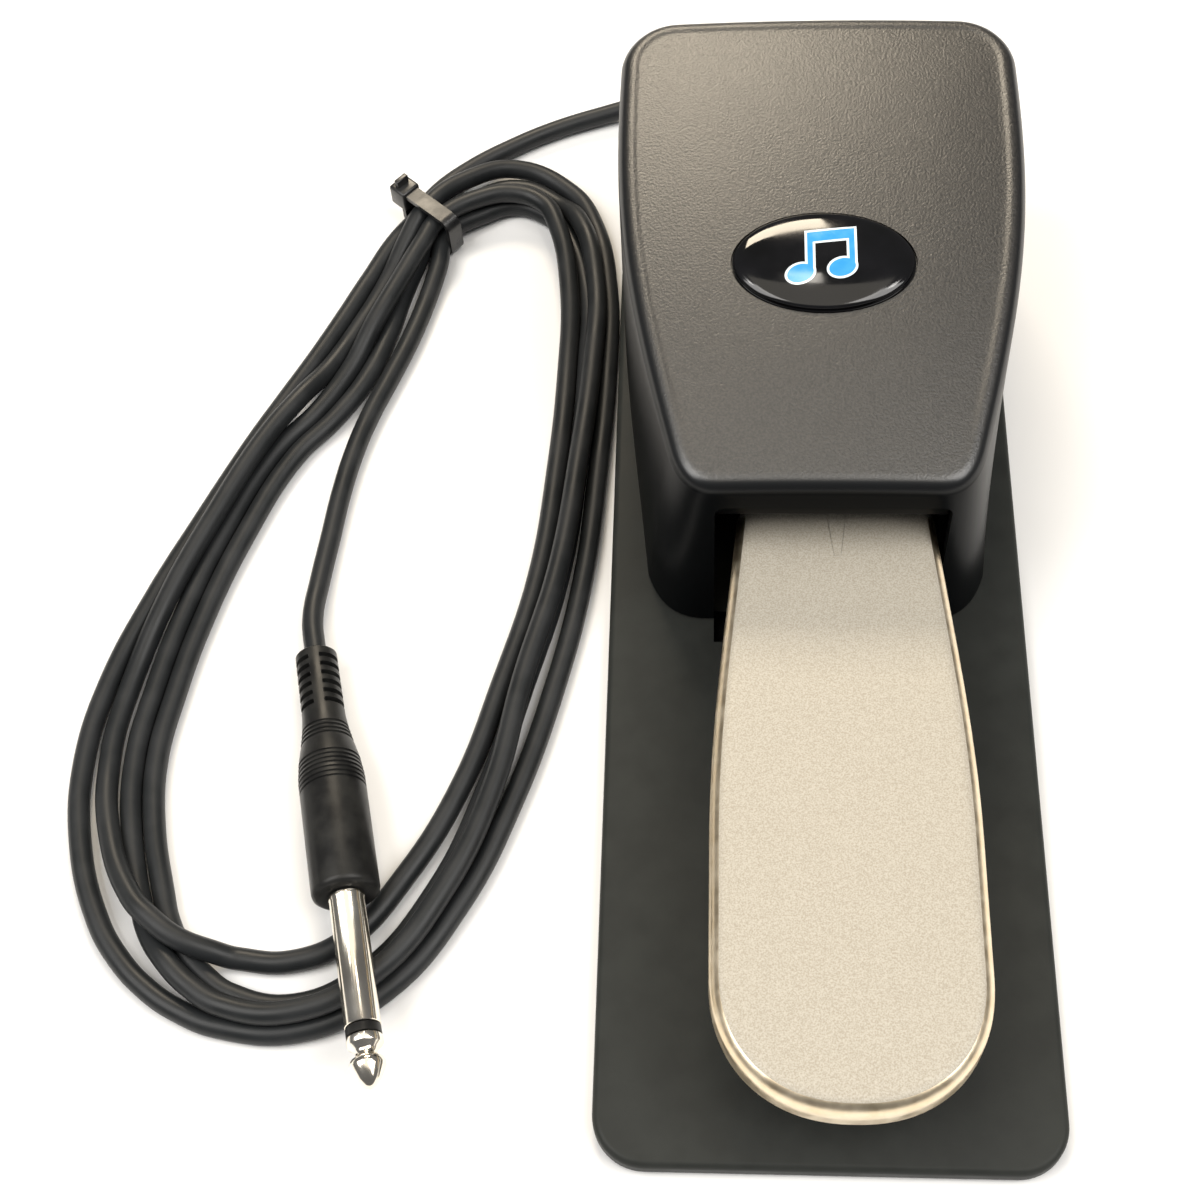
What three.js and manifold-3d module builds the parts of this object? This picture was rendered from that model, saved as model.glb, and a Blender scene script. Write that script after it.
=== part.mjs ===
// Sustain pedal for a keyboard: a nickel-plated lever pivots in a moulded housing on a flat base,
// a coil spring lifts it, and its finger works a microswitch wired to a corded quarter-inch plug.
// Millimetres. +X right, +Y towards the back (where the cord leaves), +Z up. The origin is the
// middle of the base on the floor.
import * as THREE from 'three';
import { mergeVertices } from 'three/addons/utils/BufferGeometryUtils.js';
import Module from 'manifold-3d';

const wasm = await Module();
wasm.setup();

// ---- driving dimensions -------------------------------------------------------------------
const GAP = 0.3;                  // clearance between pieces that touch

const BASE_WIDTH = 80;
const BASE_LENGTH = 218;
const BASE_CORNER = 9;
const MAT_THICK = 1.2;
const MAT_INSET = 2;
const PLATE_BOTTOM = MAT_THICK + 0.1;
const PLATE_TOP = 5;
const PLATE_EDGE = 1.1;           // rolled top edge of the plate

const FOOT_Z = PLATE_TOP + GAP;   // where the housing starts
const WALL = 2.4;
const ROOF_FRONT = 50;            // height of the roof at the front
const ROOF_RISE = 9.5;            // how much higher it is at the back
const ROOF_CROWN = 1.2;           // how much lower it is at the sides
const ROOF_EDGE = 4.5;            // radius of the rolled roof edge
const MOUTH_LEFT = -19.7;         // the mouth for the lever, a little right of the middle
const MOUTH_RIGHT = 22.3;
const MOUTH_TOP = 43.5;
const MOUTH_LIP = 38.4;           // a thin lip hangs to this height, set back in the mouth's top

const MECH_X = 2.6;               // the mechanism sits right of the middle, beside its wiring
const PIVOT_Y = 66;
const PIVOT_Z = 22;

const LEVER_TOP = 31;
const LEVER_DEPTH = 7;            // height of the lever's turned-down edge
const LEVER_SHEET = 2;
const PAD_HALF = 23;
const PAD_TIP_Y = -106.5;
const PAD_NOSE = 23;              // length of the rounded front end
const PAD_REAR_Y = 3.5;
const PAD_REAR_HALF = 18.2;
const ARM_HALF = 15;
const ARM_END_Y = 88;

const SPRING_Y = 24;
const SPRING_RADIUS = 6;
const SPRING_WIRE = 0.8;          // wire radius
const SPRING_TURNS = 5.5;

const SWITCH_FRONT = 38;
const SWITCH_BACK = 58;
const SWITCH_HALF = 3.2;
const SWITCH_BOTTOM = 7.5;
const SWITCH_TOP = 17.5;
const LEAF_HINGE_Y = 57;
const LEAF_HINGE_Z = 18.1;
const LEAF_ANGLE = 0.2;           // how far the leaf stands up at rest, radians
const LEAF_LENGTH = 16.5;
const LEAF_THICK = 0.4;
const FINGER_Y = 43;
const BUTTON_Y = 50.5;

const GLAND_X = 6;
const GLAND_Z = 12;
const GLAND_FRONT_Y = 101.8;
const GLAND_TIP_Y = 120;
const CORD_DIAMETER = 4.2;
const CORD_R = CORD_DIAMETER / 2;

const PLUG_START = [-96.8, -12.4, 4.8];   // back of the plug's handle, on its axis
const PLUG_TURN = 0.23;           // the plug points to the front, turned this far to the right
const PLUG_RISE = 0.095;          // and up this far, because its sleeve lies on the coil

const RUBBER_TOP = 16.9;          // top of the down stop
const REST_Y = 83.5;
const DOWN_Y = 5.5;

// ---- materials ------------------------------------------------------------------------------
function material(color, roughness, metalness) {
  return new THREE.MeshStandardMaterial({ color, roughness, metalness });
}
const BLACK_PLASTIC = [0x242321, 0.55, 0];
const GREY_PLASTIC = [0x3c3d3b, 0.5, 0];
const RUBBER = [0x1b1b1b, 0.85, 0];
const NICKEL = [0xdcd2bc, 0.35, 1];
const STEEL = [0xb4b6b8, 0.35, 1];
const BRASS = [0xc8a24c, 0.35, 1];
const PVC = [0x2a2b2a, 0.5, 0];
const GLOSS_BLACK = [0x060606, 0.08, 0];
const RED_PVC = [0x9c1f1b, 0.5, 0];
const WHITE_PVC = [0xd8d6cc, 0.5, 0];

// ---- scene graph and solid helpers ------------------------------------------------------------
const pedal = new THREE.Group();

function volumeOf(geometry) {
  const p = geometry.attributes.position;
  const index = geometry.index;
  const [a, b, c] = [new THREE.Vector3(), new THREE.Vector3(), new THREE.Vector3()];
  let sum = 0;
  for (let i = 0; i < index.count; i += 3) {
    a.fromBufferAttribute(p, index.getX(i));
    b.fromBufferAttribute(p, index.getX(i + 1));
    c.fromBufferAttribute(p, index.getX(i + 2));
    sum += a.dot(b.cross(c));
  }
  return sum / 6;
}

// A closed geometry with shared vertices and its faces pointing out.
function closed(geometry) {
  const bare = geometry.clone();
  bare.deleteAttribute('normal');
  bare.deleteAttribute('uv');
  const merged = mergeVertices(bare, 1e-4);
  if (volumeOf(merged) < 0) {
    const faces = Array.from(merged.index.array);
    merged.setIndex(faces.reverse());
  }
  return merged;
}

function solid(geometry) {
  const shape = closed(geometry);
  const vertProperties = new Float32Array(shape.attributes.position.array);
  const triVerts = new Uint32Array(shape.index.array);
  return new wasm.Manifold(new wasm.Mesh({ numProp: 3, vertProperties, triVerts }));
}

function fromSolid(body) {
  const mesh = body.getMesh();
  const geometry = new THREE.BufferGeometry();
  geometry.setAttribute('position', new THREE.BufferAttribute(mesh.vertProperties, 3));
  geometry.setIndex(new THREE.BufferAttribute(mesh.triVerts, 1));
  return geometry;
}

function join(first, ...others) {
  const result = others.reduce((sum, next) => sum.add(solid(next)), solid(first));
  return fromSolid(result);
}

function cut(first, ...tools) {
  const result = tools.reduce((rest, tool) => rest.subtract(solid(tool)), solid(first));
  return fromSolid(result);
}

function add(name, geometry, look, parent = pedal) {
  const shape = closed(geometry);
  shape.computeVertexNormals();
  const mesh = new THREE.Mesh(shape, material(...look));
  mesh.name = name;
  parent.add(mesh);
  return mesh;
}

// ---- shape helpers ------------------------------------------------------------------------------
function box(x0, x1, y0, y1, z0, z1) {
  const shape = new THREE.BoxGeometry(x1 - x0, y1 - y0, z1 - z0);
  return shape.translate((x0 + x1) / 2, (y0 + y1) / 2, (z0 + z1) / 2);
}

// A cylinder standing on z0.
function post(radius, x, y, z0, z1, sides = 10) {
  const shape = new THREE.CylinderGeometry(radius, radius, z1 - z0, sides);
  return shape.rotateX(Math.PI / 2).translate(x, y, (z0 + z1) / 2);
}

// A cylinder lying along X.
function barX(radius, x0, x1, y, z, sides = 16) {
  const shape = new THREE.CylinderGeometry(radius, radius, x1 - x0, sides);
  return shape.rotateZ(Math.PI / 2).translate((x0 + x1) / 2, y, z);
}

// A cylinder lying along Y.
function barY(radius, x, z, y0, y1, sides = 16) {
  const shape = new THREE.CylinderGeometry(radius, radius, y1 - y0, sides);
  return shape.translate(x, (y0 + y1) / 2, z);
}

// A turned piece: pairs of [radius, height], turned about +Z.
function turned(profile, sides = 16) {
  const points = profile.map(([radius, height]) => new THREE.Vector2(radius, height));
  return new THREE.LatheGeometry(points, sides).rotateX(Math.PI / 2);
}

function roundedRect(width, length, radius) {
  const [w, l] = [width / 2, length / 2];
  const shape = new THREE.Shape();
  shape.moveTo(-w + radius, -l);
  shape.lineTo(w - radius, -l);
  shape.absarc(w - radius, -l + radius, radius, -Math.PI / 2, 0);
  shape.lineTo(w, l - radius);
  shape.absarc(w - radius, l - radius, radius, 0, Math.PI / 2);
  shape.lineTo(-w + radius, l);
  shape.absarc(-w + radius, l - radius, radius, Math.PI / 2, Math.PI);
  shape.lineTo(-w, -l + radius);
  shape.absarc(-w + radius, -l + radius, radius, Math.PI, 1.5 * Math.PI);
  return shape;
}

function slab(shape, z0, z1, segments = 6) {
  const body = new THREE.ExtrudeGeometry(shape, {
    depth: z1 - z0, bevelEnabled: false, curveSegments: segments,
  });
  return body.translate(0, 0, z0);
}

function ellipseSlab(halfX, halfY, z0, z1, sides = 14) {
  const shape = new THREE.Shape();
  shape.absellipse(0, 0, halfX, halfY, 0, 2 * Math.PI);
  return slab(shape, z0, z1, sides);
}

// A round tube that follows a smooth line through the points.
function tube(points, radius, steps, sides = 8) {
  const path = new THREE.CatmullRomCurve3(points.map((p) => new THREE.Vector3(...p)), false, 'centripetal');
  const section = new THREE.Shape();
  for (let i = 0; i < sides; i += 1) {
    const turn = (2 * Math.PI * i) / sides;
    const corner = [radius * Math.cos(turn), radius * Math.sin(turn)];
    if (i === 0) section.moveTo(...corner);
    else section.lineTo(...corner);
  }
  section.closePath();
  return new THREE.ExtrudeGeometry(section, { steps, extrudePath: path, bevelEnabled: false });
}

// Skins rings of equal count from one end point to the other into a closed body.
function loft(rings, start, end) {
  const count = rings[0].length;
  const positions = [start, ...rings.flat(), end].flatMap((p) => [p.x, p.y, p.z]);
  const faces = [];
  const at = (ring, i) => 1 + ring * count + (i % count);
  const last = 1 + rings.length * count;
  for (let i = 0; i < count; i += 1) {
    faces.push(0, at(0, i + 1), at(0, i));
    faces.push(last, at(rings.length - 1, i), at(rings.length - 1, i + 1));
    for (let ring = 0; ring + 1 < rings.length; ring += 1) {
      faces.push(at(ring, i), at(ring, i + 1), at(ring + 1, i));
      faces.push(at(ring, i + 1), at(ring + 1, i + 1), at(ring + 1, i));
    }
  }
  const geometry = new THREE.BufferGeometry();
  geometry.setAttribute('position', new THREE.Float32BufferAttribute(positions, 3));
  geometry.setIndex(faces);
  return geometry;
}

// Moves a closed outline inwards by a distance.
function inset(outline, distance) {
  const count = outline.length;
  return outline.map((p, i) => {
    const before = outline[(i + count - 1) % count];
    const after = outline[(i + 1) % count];
    const along = new THREE.Vector2().subVectors(after, before).normalize();
    return new THREE.Vector2(p.x - along.y * distance, p.y + along.x * distance);
  });
}

function scaled(outline, centre, factor) {
  return outline.map((p) => new THREE.Vector2().lerpVectors(centre, p, factor));
}

// The whole outline, anticlockwise, from its right half given front to back.
function mirrored(half) {
  const left = half.slice(1, -1).reverse().map((p) => new THREE.Vector2(-p.x, p.y));
  return [...half, ...left];
}

// ---- base -----------------------------------------------------------------------------------------
const BASE_SCREWS = [[-26, 10], [26, 10], [-33, 50], [33, 50], [-34, 90], [34, 90]];
const BRACKET_SCREWS = [[-10, 63.4], [10, 63.4], [-10, 75], [10, 75]];
const SWITCH_FLANGE_SCREWS = [[-10.5, 41.5], [-10.5, 51]];
const CLAMP_SCREWS = [-9, 9];
const CLAMP_Y = 98.5;
const BRACKET_FLOOR = 11;
const FLANGE_Z = 8;

function screwHoles(spots, radius, z0, z1, dx = 0) {
  return spots.map(([x, y]) => post(radius, x + dx, y, z0, z1, 8));
}

function basePlate() {
  const height = PLATE_TOP - PLATE_BOTTOM - PLATE_EDGE;
  const [width, length] = [BASE_WIDTH - 2 * PLATE_EDGE, BASE_LENGTH - 2 * PLATE_EDGE];
  const outline = roundedRect(width, length, BASE_CORNER - PLATE_EDGE);
  const plate = new THREE.ExtrudeGeometry(outline, {
    depth: height, curveSegments: 5, bevelEnabled: true,
    bevelThickness: PLATE_EDGE, bevelSize: PLATE_EDGE, bevelSegments: 2,
  }).translate(0, 0, PLATE_BOTTOM);
  const below = box(-50, 50, -120, 120, -5, PLATE_BOTTOM);
  const sunk = PLATE_TOP - 0.5;
  const bosses = [
    ...screwHoles(BRACKET_SCREWS, 3.6, sunk, BRACKET_FLOOR - GAP, MECH_X),
    ...screwHoles(SWITCH_FLANGE_SCREWS, 2.6, sunk, FLANGE_Z, MECH_X),
    ...CLAMP_SCREWS.map((x) => post(3, GLAND_X + x, CLAMP_Y, sunk, 13.5)),
    box(GLAND_X - 4, GLAND_X + 4, CLAMP_Y - 3, CLAMP_Y + 3, sunk, GLAND_Z - CORD_R - GAP),
    box(MECH_X - 16, MECH_X + 16, REST_Y - 3.5, REST_Y + 3.5, sunk, 17),
    box(MECH_X - 16, MECH_X + 16, DOWN_Y - 4, DOWN_Y + 4, sunk, 12),
  ];
  const holes = [
    ...screwHoles(BASE_SCREWS, 1.9, 0, 8),
    ...screwHoles(BASE_SCREWS, 3.6, 0, 3.5),
    ...screwHoles(BRACKET_SCREWS, 1.4, 2.5, 12, MECH_X),
    ...screwHoles(SWITCH_FLANGE_SCREWS, 1.2, 2.5, 12, MECH_X),
    ...CLAMP_SCREWS.map((x) => post(1.4, GLAND_X + x, CLAMP_Y, 3, 15, 10)),
    box(MOUTH_LEFT, MOUTH_RIGHT, -8.8, -2, PLATE_TOP - 2.6, PLATE_TOP + 1),
  ];
  const body = bosses.reduce((sum, boss) => sum.add(solid(boss)), solid(plate).subtract(solid(below)));
  return fromSolid(holes.reduce((rest, hole) => rest.subtract(solid(hole)), body));
}

function rubberMat() {
  const shape = roundedRect(BASE_WIDTH - 2 * MAT_INSET, BASE_LENGTH - 2 * MAT_INSET, BASE_CORNER - MAT_INSET);
  return cut(slab(shape, 0, MAT_THICK, 5), ...screwHoles(BASE_SCREWS, 3.8, -1, 3));
}

// A screw standing on its point: shank, then head, with a cross recess.
function screw(shank, length, head, headHeight) {
  const top = length + headHeight;
  const body = turned([
    [0, 0], [shank, shank], [shank, length], [head, length], [head * 0.75, top], [0, top],
  ], 8);
  const [reach, half] = [head * 0.6, head * 0.14];
  const floor = length + headHeight * 0.4;
  return cut(
    body,
    box(-reach, reach, -half, half, floor, top + 1),
    box(-half, half, -reach, reach, floor, top + 1),
  );
}

function addScrew(name, geometry, x, y, z, upsideDown = false) {
  const mesh = add(name, geometry, STEEL);
  mesh.position.set(x, y, z);
  if (upsideDown) mesh.rotation.x = Math.PI;
}

// ---- housing ----------------------------------------------------------------------------------------
const HOUSING_FOOT = {
  half: 32.6, corner: 10, front: -3.8, bulge: 36.5, wide: 39.3, back: 107, backCorner: 10,
};
const HOUSING_TOP = {
  half: 28, corner: 8, front: -3.2, bulge: 37.5, wide: 38.4, back: 102.5, backCorner: 11,
};

function housingOutline({ half, corner, front, bulge, wide, back, backCorner }) {
  const at = (x, y) => new THREE.Vector2(x, y);
  const lean = 0.3;               // how far the sides open per millimetre just behind the front corner
  const pull = 0.55;
  const cornerX = half - corner - 1;
  const sideY = front + corner;
  const rearY = back - backCorner;
  const frontEdge = new THREE.LineCurve(at(0, front), at(cornerX, front));
  const frontCorner = new THREE.CubicBezierCurve(
    at(cornerX, front),
    at(half - corner * (1 - pull), front),
    at(half - lean * corner * pull, sideY - corner * pull),
    at(half, sideY),
  );
  const side = new THREE.CubicBezierCurve(
    at(half, sideY), at(bulge, sideY + 36), at(wide + 0.8, rearY - 34), at(wide, rearY));
  const rearCorner = new THREE.CubicBezierCurve(
    at(wide, rearY),
    at(wide - 0.4, rearY + backCorner * pull),
    at(wide - backCorner * (1 - pull), back),
    at(wide - backCorner, back),
  );
  const rearEdge = new THREE.LineCurve(at(wide - backCorner, back), at(0, back));
  const path = [[frontEdge, 2], [frontCorner, 4], [side, 6], [rearCorner, 4], [rearEdge, 2]];
  const points = path.flatMap(([curve, count]) => curve.getPoints(count).slice(0, -1));
  return mirrored([...points, at(0, back)]);
}

function roofHeight(p) {
  const { front, back } = HOUSING_TOP;
  const along = (p.y - front) / (back - front);
  const across = p.x / HOUSING_TOP.wide;
  return ROOF_FRONT + ROOF_RISE * (1 - (1 - along) ** 2) - ROOF_CROWN * across ** 2;
}

// Rings of one skin of the housing, foot to roof. `depth` is 0 outside and the wall inside.
function housingSkin(depth) {
  const foot = inset(housingOutline(HOUSING_FOOT), depth);
  const top = inset(housingOutline(HOUSING_TOP), depth);
  const edge = Math.max(ROOF_EDGE - depth, 1.5);
  const lift = (p, z) => new THREE.Vector3(p.x, p.y, z);
  const rings = [];
  for (const up of [0, 0.5, 1]) {
    rings.push(foot.map((p, i) => {
      const q = new THREE.Vector2().lerpVectors(p, top[i], up);
      const eaves = roofHeight(top[i]) - depth - edge;
      return lift(q, FOOT_Z + (eaves - FOOT_Z) * up);
    }));
  }
  for (const turn of depth ? [1] : [0.35, 0.7, 1]) {
    const angle = (turn * Math.PI) / 2;
    const ring = inset(top, edge * (1 - Math.cos(angle)));
    rings.push(ring.map((p) => lift(p, roofHeight(p) - depth - edge * (1 - Math.sin(angle)))));
  }
  const rim = inset(top, edge);
  const middle = new THREE.Vector2(0, 52);
  for (const factor of depth ? [0.5] : [0.7, 0.35]) {
    rings.push(scaled(rim, middle, factor).map((p) => lift(p, roofHeight(p) - depth)));
  }
  return { rings, peak: lift(middle, roofHeight(middle) - depth) };
}

const BADGE_Y = 42;
const BADGE_HALF = [17, 11];
const BADGE_SINK = 1;             // depth of the badge's recess
const badgeTilt = Math.atan2(
  roofHeight(new THREE.Vector2(0, BADGE_Y + 1)) - roofHeight(new THREE.Vector2(0, BADGE_Y - 1)), 2);

function placeOnRoof(mesh) {
  mesh.position.set(0, BADGE_Y, roofHeight(new THREE.Vector2(0, BADGE_Y)));
  mesh.rotation.x = badgeTilt;
}

function onRoof(geometry) {
  return geometry.rotateX(badgeTilt).translate(0, BADGE_Y, roofHeight(new THREE.Vector2(0, BADGE_Y)));
}

function housingShell() {
  const outer = housingSkin(0);
  const inner = housingSkin(WALL);
  const shell = loft([...inner.rings.slice().reverse(), ...outer.rings], inner.peak, outer.peak);
  const bosses = BASE_SCREWS.map(([x, y]) => post(3.6, x, y, FOOT_Z, 26, 10));
  const holes = BASE_SCREWS.map(([x, y]) => post(1.8, x, y, 0, 22, 8));
  const lip = box(MOUTH_LEFT - 0.5, MOUTH_RIGHT + 0.5, -1.4, 0.1, MOUTH_LIP, MOUTH_TOP + 1);
  return join(cut(
    join(shell, ...bosses),
    ...holes,
    box(MOUTH_LEFT, MOUTH_RIGHT, -12, 0.5, 0, MOUTH_TOP),
    barY(4 + GAP, GLAND_X, GLAND_Z, 100, 112, 12),
    onRoof(ellipseSlab(BADGE_HALF[0], BADGE_HALF[1], -BADGE_SINK, 6)),
  ), lip);
}

function badgePlate() {
  return ellipseSlab(BADGE_HALF[0] - GAP, BADGE_HALF[1] - GAP, -BADGE_SINK + 0.1, -0.2);
}

// A domed lens, flat below.
function badgeDome() {
  const [halfX, halfY] = [BADGE_HALF[0] - 0.6, BADGE_HALF[1] - 0.6];
  const [rimHigh, rise] = [0.35, 1.6];
  const ring = (factor, z) => new THREE.EllipseCurve(0, 0, halfX * factor, halfY * factor)
    .getPoints(24).slice(0, -1).map((p) => new THREE.Vector3(p.x, p.y, z));
  const rings = [ring(1, 0), ring(1, rimHigh)];
  for (const angle of [0.35, 0.75, 1.15]) {
    rings.push(ring(Math.cos(angle), rimHigh + rise * Math.sin(angle)));
  }
  return loft(rings, new THREE.Vector3(0, 0, 0), new THREE.Vector3(0, 0, rimHigh + rise));
}

// ---- lever ----------------------------------------------------------------------------------------
const NOSE_POWER = 0.9;           // below 1 the nose is blunter than an ellipse

function leverOutline() {
  const nose = [];
  for (let i = 0; i <= 7; i += 1) {
    const turn = (i * Math.PI) / 14;
    const across = Math.sin(turn) ** NOSE_POWER;
    const back = 1 - Math.cos(turn) ** NOSE_POWER;
    nose.push(new THREE.Vector2(PAD_HALF * across, PAD_TIP_Y + PAD_NOSE * back));
  }
  const flank = new THREE.CubicBezierCurve(
    new THREE.Vector2(PAD_HALF, -60), new THREE.Vector2(PAD_HALF, -38),
    new THREE.Vector2(20.2, -19), new THREE.Vector2(PAD_REAR_HALF, PAD_REAR_Y),
  ).getPoints(6);
  const arm = [
    [ARM_HALF, 8], [ARM_HALF, 35], [ARM_HALF, 65], [ARM_HALF, ARM_END_Y - 2],
    [ARM_HALF - 2, ARM_END_Y], [0, ARM_END_Y],
  ];
  return mirrored([...nose, ...flank, ...arm.map(([x, y]) => new THREE.Vector2(x, y))]);
}

function leverShell() {
  const outline = leverOutline();
  const lift = (points, z) => points.map((p) => new THREE.Vector3(p.x, p.y, z));
  const middle = new THREE.Vector2(0, -10);
  const bottom = LEVER_TOP - LEVER_DEPTH;
  const roll = 3;
  const rings = [
    lift(scaled(inset(outline, LEVER_SHEET + 1), middle, 0.5), LEVER_TOP - LEVER_SHEET),
    lift(inset(outline, LEVER_SHEET + 1), LEVER_TOP - LEVER_SHEET),
    lift(inset(outline, LEVER_SHEET), LEVER_TOP - LEVER_SHEET - 1),
    lift(inset(outline, LEVER_SHEET), bottom),
    lift(outline, bottom),
  ];
  for (const turn of [0, 0.5, 1]) {
    const angle = (turn * Math.PI) / 2;
    const ring = inset(outline, roll * (1 - Math.cos(angle)));
    rings.push(lift(ring, LEVER_TOP - roll * (1 - Math.sin(angle))));
  }
  rings.push(lift(scaled(inset(outline, roll), middle, 0.5), LEVER_TOP));
  const [below, above] = lift([middle, middle], LEVER_TOP);
  below.z -= LEVER_SHEET;
  return loft(rings, below, above);
}

// An ear lies in the YZ plane: its shape is drawn with y across and z up, then made `thick` wide.
function earPlate(shape, x0, thick) {
  const ear = new THREE.ExtrudeGeometry(shape, { depth: thick, bevelEnabled: false, curveSegments: 6 });
  ear.applyMatrix4(new THREE.Matrix4().makeBasis(
    new THREE.Vector3(0, 1, 0), new THREE.Vector3(0, 0, 1), new THREE.Vector3(1, 0, 0)));
  return ear.translate(x0, 0, 0);
}

// An ear of the lever, which holds a bushing.
function leverEar(x0) {
  const shape = new THREE.Shape();
  shape.moveTo(PIVOT_Y + 7, LEVER_TOP - 1.5);
  shape.lineTo(PIVOT_Y - 7, LEVER_TOP - 1.5);
  shape.lineTo(PIVOT_Y - 7, PIVOT_Z);
  shape.absarc(PIVOT_Y, PIVOT_Z, 7, Math.PI, 2 * Math.PI);
  return earPlate(shape, x0, LEVER_SHEET);
}

function pedalLever() {
  const body = join(leverShell(), leverEar(-ARM_HALF), leverEar(ARM_HALF - LEVER_SHEET));
  return cut(body, barX(3 + GAP, -20, 20, PIVOT_Y, PIVOT_Z, 14)).translate(MECH_X, 0, 0);
}

function bushing() {
  return turned([[2.3, -2.3], [3, -2.3], [3, GAP], [4.5, GAP], [4.5, 1.1], [2.3, 1.1], [2.3, -2.3]], 14);
}

// A block under the lever whose rounded nose pushes the switch's leaf down.
function actuatorFinger() {
  const top = LEVER_TOP - LEVER_SHEET - GAP;
  const leafTop = LEAF_HINGE_Z + Math.tan(LEAF_ANGLE) * (LEAF_HINGE_Y - FINGER_Y) + LEAF_THICK;
  const bottom = leafTop + 0.35;
  const root = box(-4, 4, FINGER_Y - 4, FINGER_Y + 4, top - 2, top);
  const stem = box(-2.2, 2.2, FINGER_Y - 2, FINGER_Y + 2, bottom + 2, top - 1);
  const nose = barX(2, -2.2, 2.2, FINGER_Y, bottom + 2, 12);
  return join(root, stem, nose).translate(MECH_X, 0, 0);
}

// ---- pivot -------------------------------------------------------------------------------------------
const EAR_IN = 16.4;
const EAR_OUT = 18.4;
const BRACKET_FRONT = 59.4;
const BRACKET_BACK = 79;

function bracketEar(x0) {
  const shape = new THREE.Shape();
  shape.moveTo(BRACKET_FRONT, BRACKET_FLOOR + 0.5);
  shape.lineTo(BRACKET_BACK, BRACKET_FLOOR + 0.5);
  shape.lineTo(PIVOT_Y + 6, PIVOT_Z);
  shape.absarc(PIVOT_Y, PIVOT_Z, 6, 0, Math.PI);
  return earPlate(shape, x0, EAR_OUT - EAR_IN);
}

function pivotBracket() {
  const floor = box(-EAR_OUT, EAR_OUT, BRACKET_FRONT, BRACKET_BACK, BRACKET_FLOOR, BRACKET_FLOOR + 1.6);
  const body = join(floor, bracketEar(-EAR_OUT), bracketEar(EAR_IN));
  const holes = BRACKET_SCREWS.map(([x, y]) => post(1.8, x, y, 8, 14, 10));
  return cut(body, barX(2 + GAP, -25, 25, PIVOT_Y, PIVOT_Z, 16), ...holes).translate(MECH_X, 0, 0);
}

// A split ring that snaps on the pin's end.
function clip(x) {
  const open = 0.55;
  const shape = new THREE.Shape();
  shape.absarc(0, 0, 4.2, open, 2 * Math.PI - open, false);
  shape.absarc(0, 0, 2 + GAP, 2 * Math.PI - open, open, true);
  shape.closePath();
  const ring = new THREE.ExtrudeGeometry(shape, { depth: 0.8, bevelEnabled: false, curveSegments: 8 });
  return ring.rotateY(Math.PI / 2).translate(x, PIVOT_Y, PIVOT_Z);
}

// ---- return spring and stops ----------------------------------------------------------------------
const SPRING_LOW = 7.6;
const SPRING_HIGH = 26.4;

function returnSpring() {
  const points = [];
  const perTurn = 10;
  const count = SPRING_TURNS * perTurn;
  const travel = SPRING_HIGH - SPRING_LOW - 2 * SPRING_WIRE - 0.4;
  for (let i = 0; i <= count; i += 1) {
    const share = i / count;
    // The first and last turns lie nearly flat, as ground ends do.
    const climb = share - Math.sin(2 * Math.PI * share) / 9;
    const turn = (2 * Math.PI * i) / perTurn;
    points.push([
      SPRING_RADIUS * Math.cos(turn), SPRING_RADIUS * Math.sin(turn),
      SPRING_LOW + SPRING_WIRE + 0.2 + travel * climb,
    ]);
  }
  return tube(points, SPRING_WIRE, count, 5).translate(MECH_X, SPRING_Y, 0);
}

function springSeat() {
  return turned([[0, FOOT_Z], [9, FOOT_Z], [9, 7.2], [4.2, 7.2], [3.8, 13], [2.8, 14], [0, 14]], 14)
    .translate(MECH_X, SPRING_Y, 0);
}

function springCap() {
  const top = LEVER_TOP - LEVER_SHEET - GAP;
  return turned([[0, 21], [2.8, 21], [3.8, 22], [4.2, 26.8], [9, 26.8], [9, top], [0, top]], 14)
    .translate(MECH_X, SPRING_Y, 0);
}

function rubberStop(y, half, z0, z1) {
  const shape = roundedRect(31, 2 * half, 1.5);
  return new THREE.ExtrudeGeometry(shape, {
    depth: z1 - z0 - 1.2, curveSegments: 3, bevelEnabled: true, bevelThickness: 0.6, bevelSize: 0.6,
    bevelOffset: -0.6, bevelSegments: 1,
  }).translate(MECH_X, y, z0 + 0.6);
}

// ---- switch ------------------------------------------------------------------------------------------
const SWITCH_HOLES = [43.2, 52.8];
const SWITCH_HOLE_Z = 10.2;
const SWITCH_BRACKET_X = -SWITCH_HALF - GAP;

function switchBody() {
  const body = box(-SWITCH_HALF, SWITCH_HALF, SWITCH_FRONT, SWITCH_BACK, SWITCH_BOTTOM, SWITCH_TOP);
  const pocket = box(-1.7, 1.7, BUTTON_Y - 1.7, BUTTON_Y + 1.7, SWITCH_TOP - 4.2, SWITCH_TOP + 1);
  const holes = SWITCH_HOLES.map((y) => barX(1.3, -5, 5, y, SWITCH_HOLE_Z, 10));
  return cut(body, pocket, ...holes).translate(MECH_X, 0, 0);
}

function switchButton() {
  const top = LEAF_HINGE_Z + Math.tan(LEAF_ANGLE) * (LEAF_HINGE_Y - BUTTON_Y) - 0.7;
  return join(
    box(-1.4, 1.4, BUTTON_Y - 1.4, BUTTON_Y + 1.4, SWITCH_TOP - 2.4, SWITCH_TOP - 0.6),
    box(-1.1, 1.1, BUTTON_Y - 1.1, BUTTON_Y + 1.1, SWITCH_TOP - 1, top),
  ).translate(MECH_X, 0, 0);
}

// A thin leaf that reaches forward from its hinge, standing up a little at rest.
function switchLeaf() {
  const leaf = box(-2.3, 2.3, -LEAF_LENGTH, 0, -LEAF_THICK / 2, LEAF_THICK / 2);
  const curl = barX(0.45, -2.3, 2.3, 0, 0, 10);
  return join(leaf, curl).rotateX(-LEAF_ANGLE).translate(MECH_X, LEAF_HINGE_Y, LEAF_HINGE_Z);
}

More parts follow.
